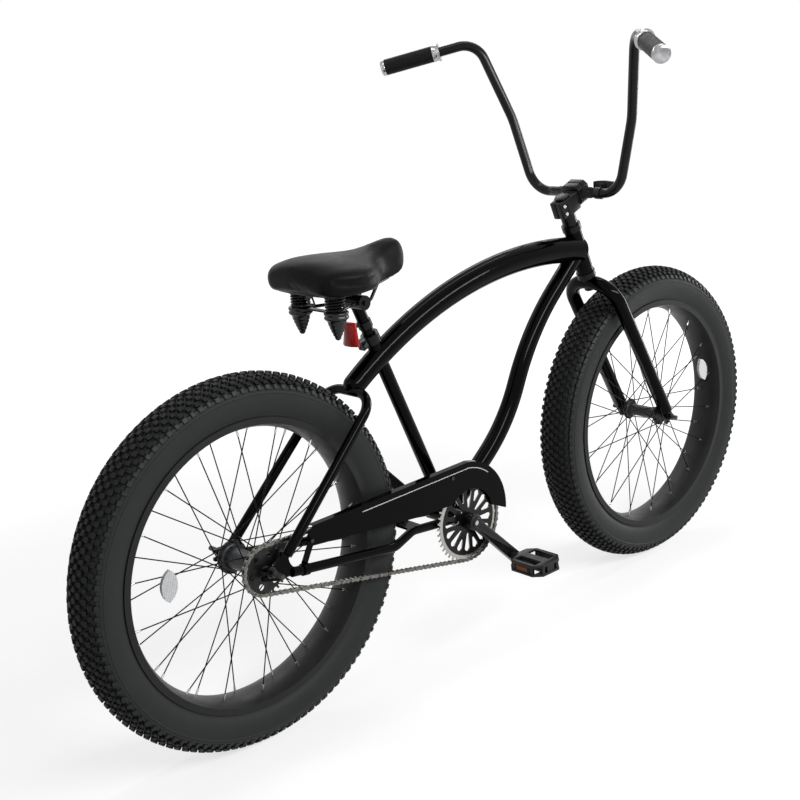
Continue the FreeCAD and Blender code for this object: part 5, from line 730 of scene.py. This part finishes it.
def make_saddle_tab():
    """A flat tab with a square slot, bent down from the base's rear edge."""
    low = Vector(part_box("saddle_base")[0])
    shape = bmesh.new()
    corner = Vector((low.x, 0.0, low.z))
    hang = Matrix.Translation(corner + TAB_PLACE) @ Matrix.Rotation(TAB_SLOPE, 4, "Y")
    for size, spot in TAB_BARS:
        add_block(shape, size, hang @ Matrix.Translation(spot), TAB_EDGE)
    return make_piece("saddle_tab", shape, [satin_steel], "seat")


dress(satin_steel, "saddle_rails", "saddle_clamp", "rear_reflector_bracket")
dress(moulded_black, "saddle_base")
boot_rubber = finish("glossy_boot_rubber", (0.004, 0.004, 0.0042), (0.010, 0.010, 0.0103), (0.2, 0.32), scale=60.0,
                     relief_scale=700.0, specular=0.3)
make_springs()
make_boots()
make_saddle_tab()

# Rear reflector: a red moulded lens of prisms, broad across, with rounded edges.
# It hangs on a bracket from the seat post.
RED_LENS_EDGE = 0.0016
RED_LENS_BREADTH = 1.35
red_lens = rounded_copy("rear_reflector", RED_LENS_EDGE)
bmesh.ops.scale(red_lens, vec=(1.0, RED_LENS_BREADTH, 1.0), verts=red_lens.verts)
red_prism = painted_facet_prism_material("red_prism_plastic", (0.52, 0.012, 0.013), specular=0.2)
make_piece("broad_rear_reflector", red_lens, [red_prism], "seat", ["rear_reflector"])

# Saddle cover: foam under one stretched sheet of black vinyl, full at the back and drawn in at the
# waist, with a rounded nose that lifts. A crease sags across the side of each rear wing.
COVER_VOXEL = 0.0045
COVER_EASE, COVER_EASE_ROUNDS = 0.5, 12
STUFFING_PRESSURE = 3.0
STUFFING_FRAMES = 12
STUFFING_REACH = 0.004
CREASE_START, CREASE_END = 0.05, 0.49
CREASE_LEVEL, CREASE_SAG = 0.40, 0.10
CREASE_WIDTH, CREASE_DEPTH = 0.0085, 0.0060
CREASE_FACING = 0.15


def make_vinyl():
    material = finish("grained_black_vinyl", (0.006, 0.006, 0.0062), (0.0105, 0.0105, 0.0108), (0.32, 0.42),
                      scale=18.0, specular=0.05)
    tree = material.node_tree
    shader = tree.nodes["Principled BSDF"]
    place = add_node(tree, "ShaderNodeTexCoord")
    grain = add_node(tree, "ShaderNodeTexVoronoi", {"Vector": place.outputs["Object"], "Scale": 700.0})
    bump = add_node(tree, "ShaderNodeBump", {
        "Strength": 0.35, "Distance": 0.0004, "Height": grain.outputs["Distance"]})
    tree.links.new(bump.outputs["Normal"], shader.inputs["Normal"])
    return material


def press_creases(mesh):
    """Draw the vinyl in along a sagging line low on each rear wing, where the wings fold under a rider."""
    low, high = (Vector(corner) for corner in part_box("saddle_cover"))
    long = high.x - low.x
    tall = high.z - low.z
    outward = [vert.normal.copy() for vert in mesh.vertices]
    for vert, normal in zip(mesh.vertices, outward):
        along = (vert.co.x - low.x) / long
        share = (along - CREASE_START) / (CREASE_END - CREASE_START)
        if not 0.0 < share < 1.0 or abs(normal.y) < CREASE_FACING:
            continue
        level = low.z + tall * (CREASE_LEVEL - CREASE_SAG * math.sin(math.pi * share))
        near = (vert.co.z - level) / CREASE_WIDTH
        depth = math.exp(-near * near) * math.sin(math.pi * share) ** 0.5
        vert.co -= normal * CREASE_DEPTH * depth


def make_saddle_cover():
    shape = joined_copy("saddle_cover")
    mesh = bpy.data.meshes.new("padded_saddle")
    shape.to_mesh(mesh)
    shape.free()
    cover = bpy.data.objects.new("padded_saddle", mesh)
    bpy.context.scene.collection.objects.link(cover)
    bpy.context.view_layer.objects.active = cover
    cover.select_set(True)
    remesh = cover.modifiers.new("skin", "REMESH")
    remesh.mode = "VOXEL"
    remesh.voxel_size = COVER_VOXEL
    bpy.ops.object.modifier_apply(modifier=remesh.name)
    ease = cover.modifiers.new("ease", "SMOOTH")
    ease.factor = COVER_EASE
    ease.iterations = COVER_EASE_ROUNDS
    bpy.ops.object.modifier_apply(modifier=ease.name)
    rest = [vert.co.copy() for vert in cover.data.vertices]
    cloth = cover.modifiers.new("stuffing", "CLOTH")
    cloth.settings.use_pressure = True
    cloth.settings.uniform_pressure_force = STUFFING_PRESSURE
    cloth.settings.effector_weights.gravity = 0.0
    for step in range(1, STUFFING_FRAMES + 1):
        bpy.context.scene.frame_set(step)
    bpy.ops.object.modifier_apply(modifier=cloth.name)
    bpy.context.scene.frame_set(1)
    for vert, old in zip(cover.data.vertices, rest):
        move = vert.co - old
        if move.length > STUFFING_REACH:
            vert.co = old + move.normalized() * STUFFING_REACH
    press_creases(cover.data)
    round_off = cover.modifiers.new("round", "SUBSURF")
    round_off.levels = 1
    round_off.render_levels = 1
    cover.data.materials.clear()
    cover.data.materials.append(make_vinyl())
    cover.data.shade_smooth()
    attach(cover, "seat")
    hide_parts("saddle_cover")
    return cover


make_saddle_cover()

# Studio: a white floor that runs into a white surround, with long strips overhead, far, right and
# ahead that draw a line of light along each tube, and a softbox behind.
FLOOR_WHITE = 0.35
FLOOR_RADIUS = 30.0
# What the eye and mirrors see of the floor: from this level under the object to white further out.
FLOOR_LEVEL, FLOOR_FADE_START, FLOOR_FADE_END = 0.70, 0.9, 3.0
SURROUND_LIGHT = 0.14


def add_seen_from(tree):
    """A mask of the rays that show the surroundings: seen straight, mirrored or through glass."""
    paths = add_node(tree, "ShaderNodeLightPath")
    first = add_node(tree, "ShaderNodeMath", {0: paths.outputs["Is Camera Ray"], 1: paths.outputs["Is Glossy Ray"]},
                     operation="MAXIMUM")
    return add_node(tree, "ShaderNodeMath", {0: first.outputs["Value"], 1: paths.outputs["Is Transmission Ray"]},
                    operation="MAXIMUM").outputs["Value"]


floor_shape = bmesh.new()
bmesh.ops.create_circle(floor_shape, cap_ends=True, segments=96, radius=FLOOR_RADIUS)
floor_mesh = bpy.data.meshes.new("studio_floor")
floor_shape.to_mesh(floor_mesh)
floor_shape.free()
floor = bpy.data.objects.new("studio_floor", floor_mesh)
bpy.context.scene.collection.objects.link(floor)
floor_material = bpy.data.materials.new("white_floor")
floor_material.use_nodes = True
ground = floor_material.node_tree
floor_shader = ground.nodes["Principled BSDF"]
floor_shader.inputs["Base Color"].default_value = (FLOOR_WHITE, FLOOR_WHITE, FLOOR_WHITE, 1)
floor_shader.inputs["Roughness"].default_value = 1.0
floor_shader.inputs["Specular IOR Level"].default_value = 0.0
spot = add_node(ground, "ShaderNodeTexCoord")
away = add_node(ground, "ShaderNodeVectorMath", {0: spot.outputs["Object"]}, operation="LENGTH")
lift = add_node(ground, "ShaderNodeMapRange", {
    "Value": away.outputs["Value"], "From Min": FLOOR_FADE_START, "From Max": FLOOR_FADE_END,
    "To Min": FLOOR_LEVEL, "To Max": 1.0}, interpolation_type="SMOOTHSTEP")
shown = add_node(ground, "ShaderNodeMath", {0: lift.outputs["Result"], 1: add_seen_from(ground)},
                 operation="MULTIPLY")
floor_shader.inputs["Emission Color"].default_value = (1, 1, 1, 1)
ground.links.new(shown.outputs["Value"], floor_shader.inputs["Emission Strength"])
floor_mesh.materials.append(floor_material)

world = bpy.data.worlds.new("white_surround")
bpy.context.scene.world = world
world.use_nodes = True
sky = world.node_tree
backdrop = sky.nodes["Background"]
level = add_node(sky, "ShaderNodeMapRange", {"Value": add_seen_from(sky), "To Min": SURROUND_LIGHT, "To Max": 1.0})
sky.links.new(level.outputs["Result"], backdrop.inputs["Strength"])
backdrop.inputs["Color"].default_value = (1, 1, 1, 1)


def add_lamp(name, place, aim, size, power):
    data = bpy.data.lights.new(name, "AREA")
    data.shape = "RECTANGLE"
    data.size, data.size_y = size
    data.energy = power
    lamp = bpy.data.objects.new(name, data)
    lamp.location = place
    lamp.rotation_euler = (Vector(aim) - Vector(place)).to_track_quat("-Z", "Y").to_euler()
    bpy.context.scene.collection.objects.link(lamp)


add_lamp("overhead_strip", (0.1, 0.30, 3.2), (0.1, 0.1, 0.5), (3.6, 0.3), 18.0)
add_lamp("far_strip", (1.0, 2.7, 2.8), (0.0, 0.0, 0.6), (5.0, 0.3), 30.0)
add_lamp("right_strip", (0.4, -2.7, 2.2), (0.0, 0.0, 0.6), (3.4, 0.45), 108.0)
add_lamp("front_strip", (4.2, -0.4, 1.1), (0.0, 0.0, 0.7), (0.5, 2.2), 60.0)
add_lamp("rear_softbox", (-3.2, 0.6, 1.8), (0.0, 0.0, 0.6), (1.2, 1.6), 6.0)

# Camera: behind the rider's right, a little above the saddle, with a long lens. Its place and turn were
# fitted to the wheels and the bar.
CAMERA_PLACE = Vector((-1.9224, -1.9136, 1.2950))
YAW, PITCH, ROLL = 0.8391, -0.2663, -0.0656
FOCUS_PIXELS = 1282.86
PHOTO_SIDE = 800
ahead = Vector((math.cos(PITCH) * math.cos(YAW), math.cos(PITCH) * math.sin(YAW), math.sin(PITCH)))
level_right = ahead.cross(Vector((0, 0, 1))).normalized()
level_up = level_right.cross(ahead)
right = level_right * math.cos(ROLL) + level_up * math.sin(ROLL)
up = level_up * math.cos(ROLL) - level_right * math.sin(ROLL)
camera_data = bpy.data.cameras.new("studio_camera")
camera_data.sensor_width = 36.0
camera_data.lens = FOCUS_PIXELS / PHOTO_SIDE * camera_data.sensor_width
camera = bpy.data.objects.new("studio_camera", camera_data)
camera.matrix_world = Matrix((
    (right.x, up.x, -ahead.x, CAMERA_PLACE.x),
    (right.y, up.y, -ahead.y, CAMERA_PLACE.y),
    (right.z, up.z, -ahead.z, CAMERA_PLACE.z),
    (0, 0, 0, 1),
))
bpy.context.scene.collection.objects.link(camera)
bpy.context.scene.camera = camera
bpy.context.scene.view_settings.view_transform = "Standard"
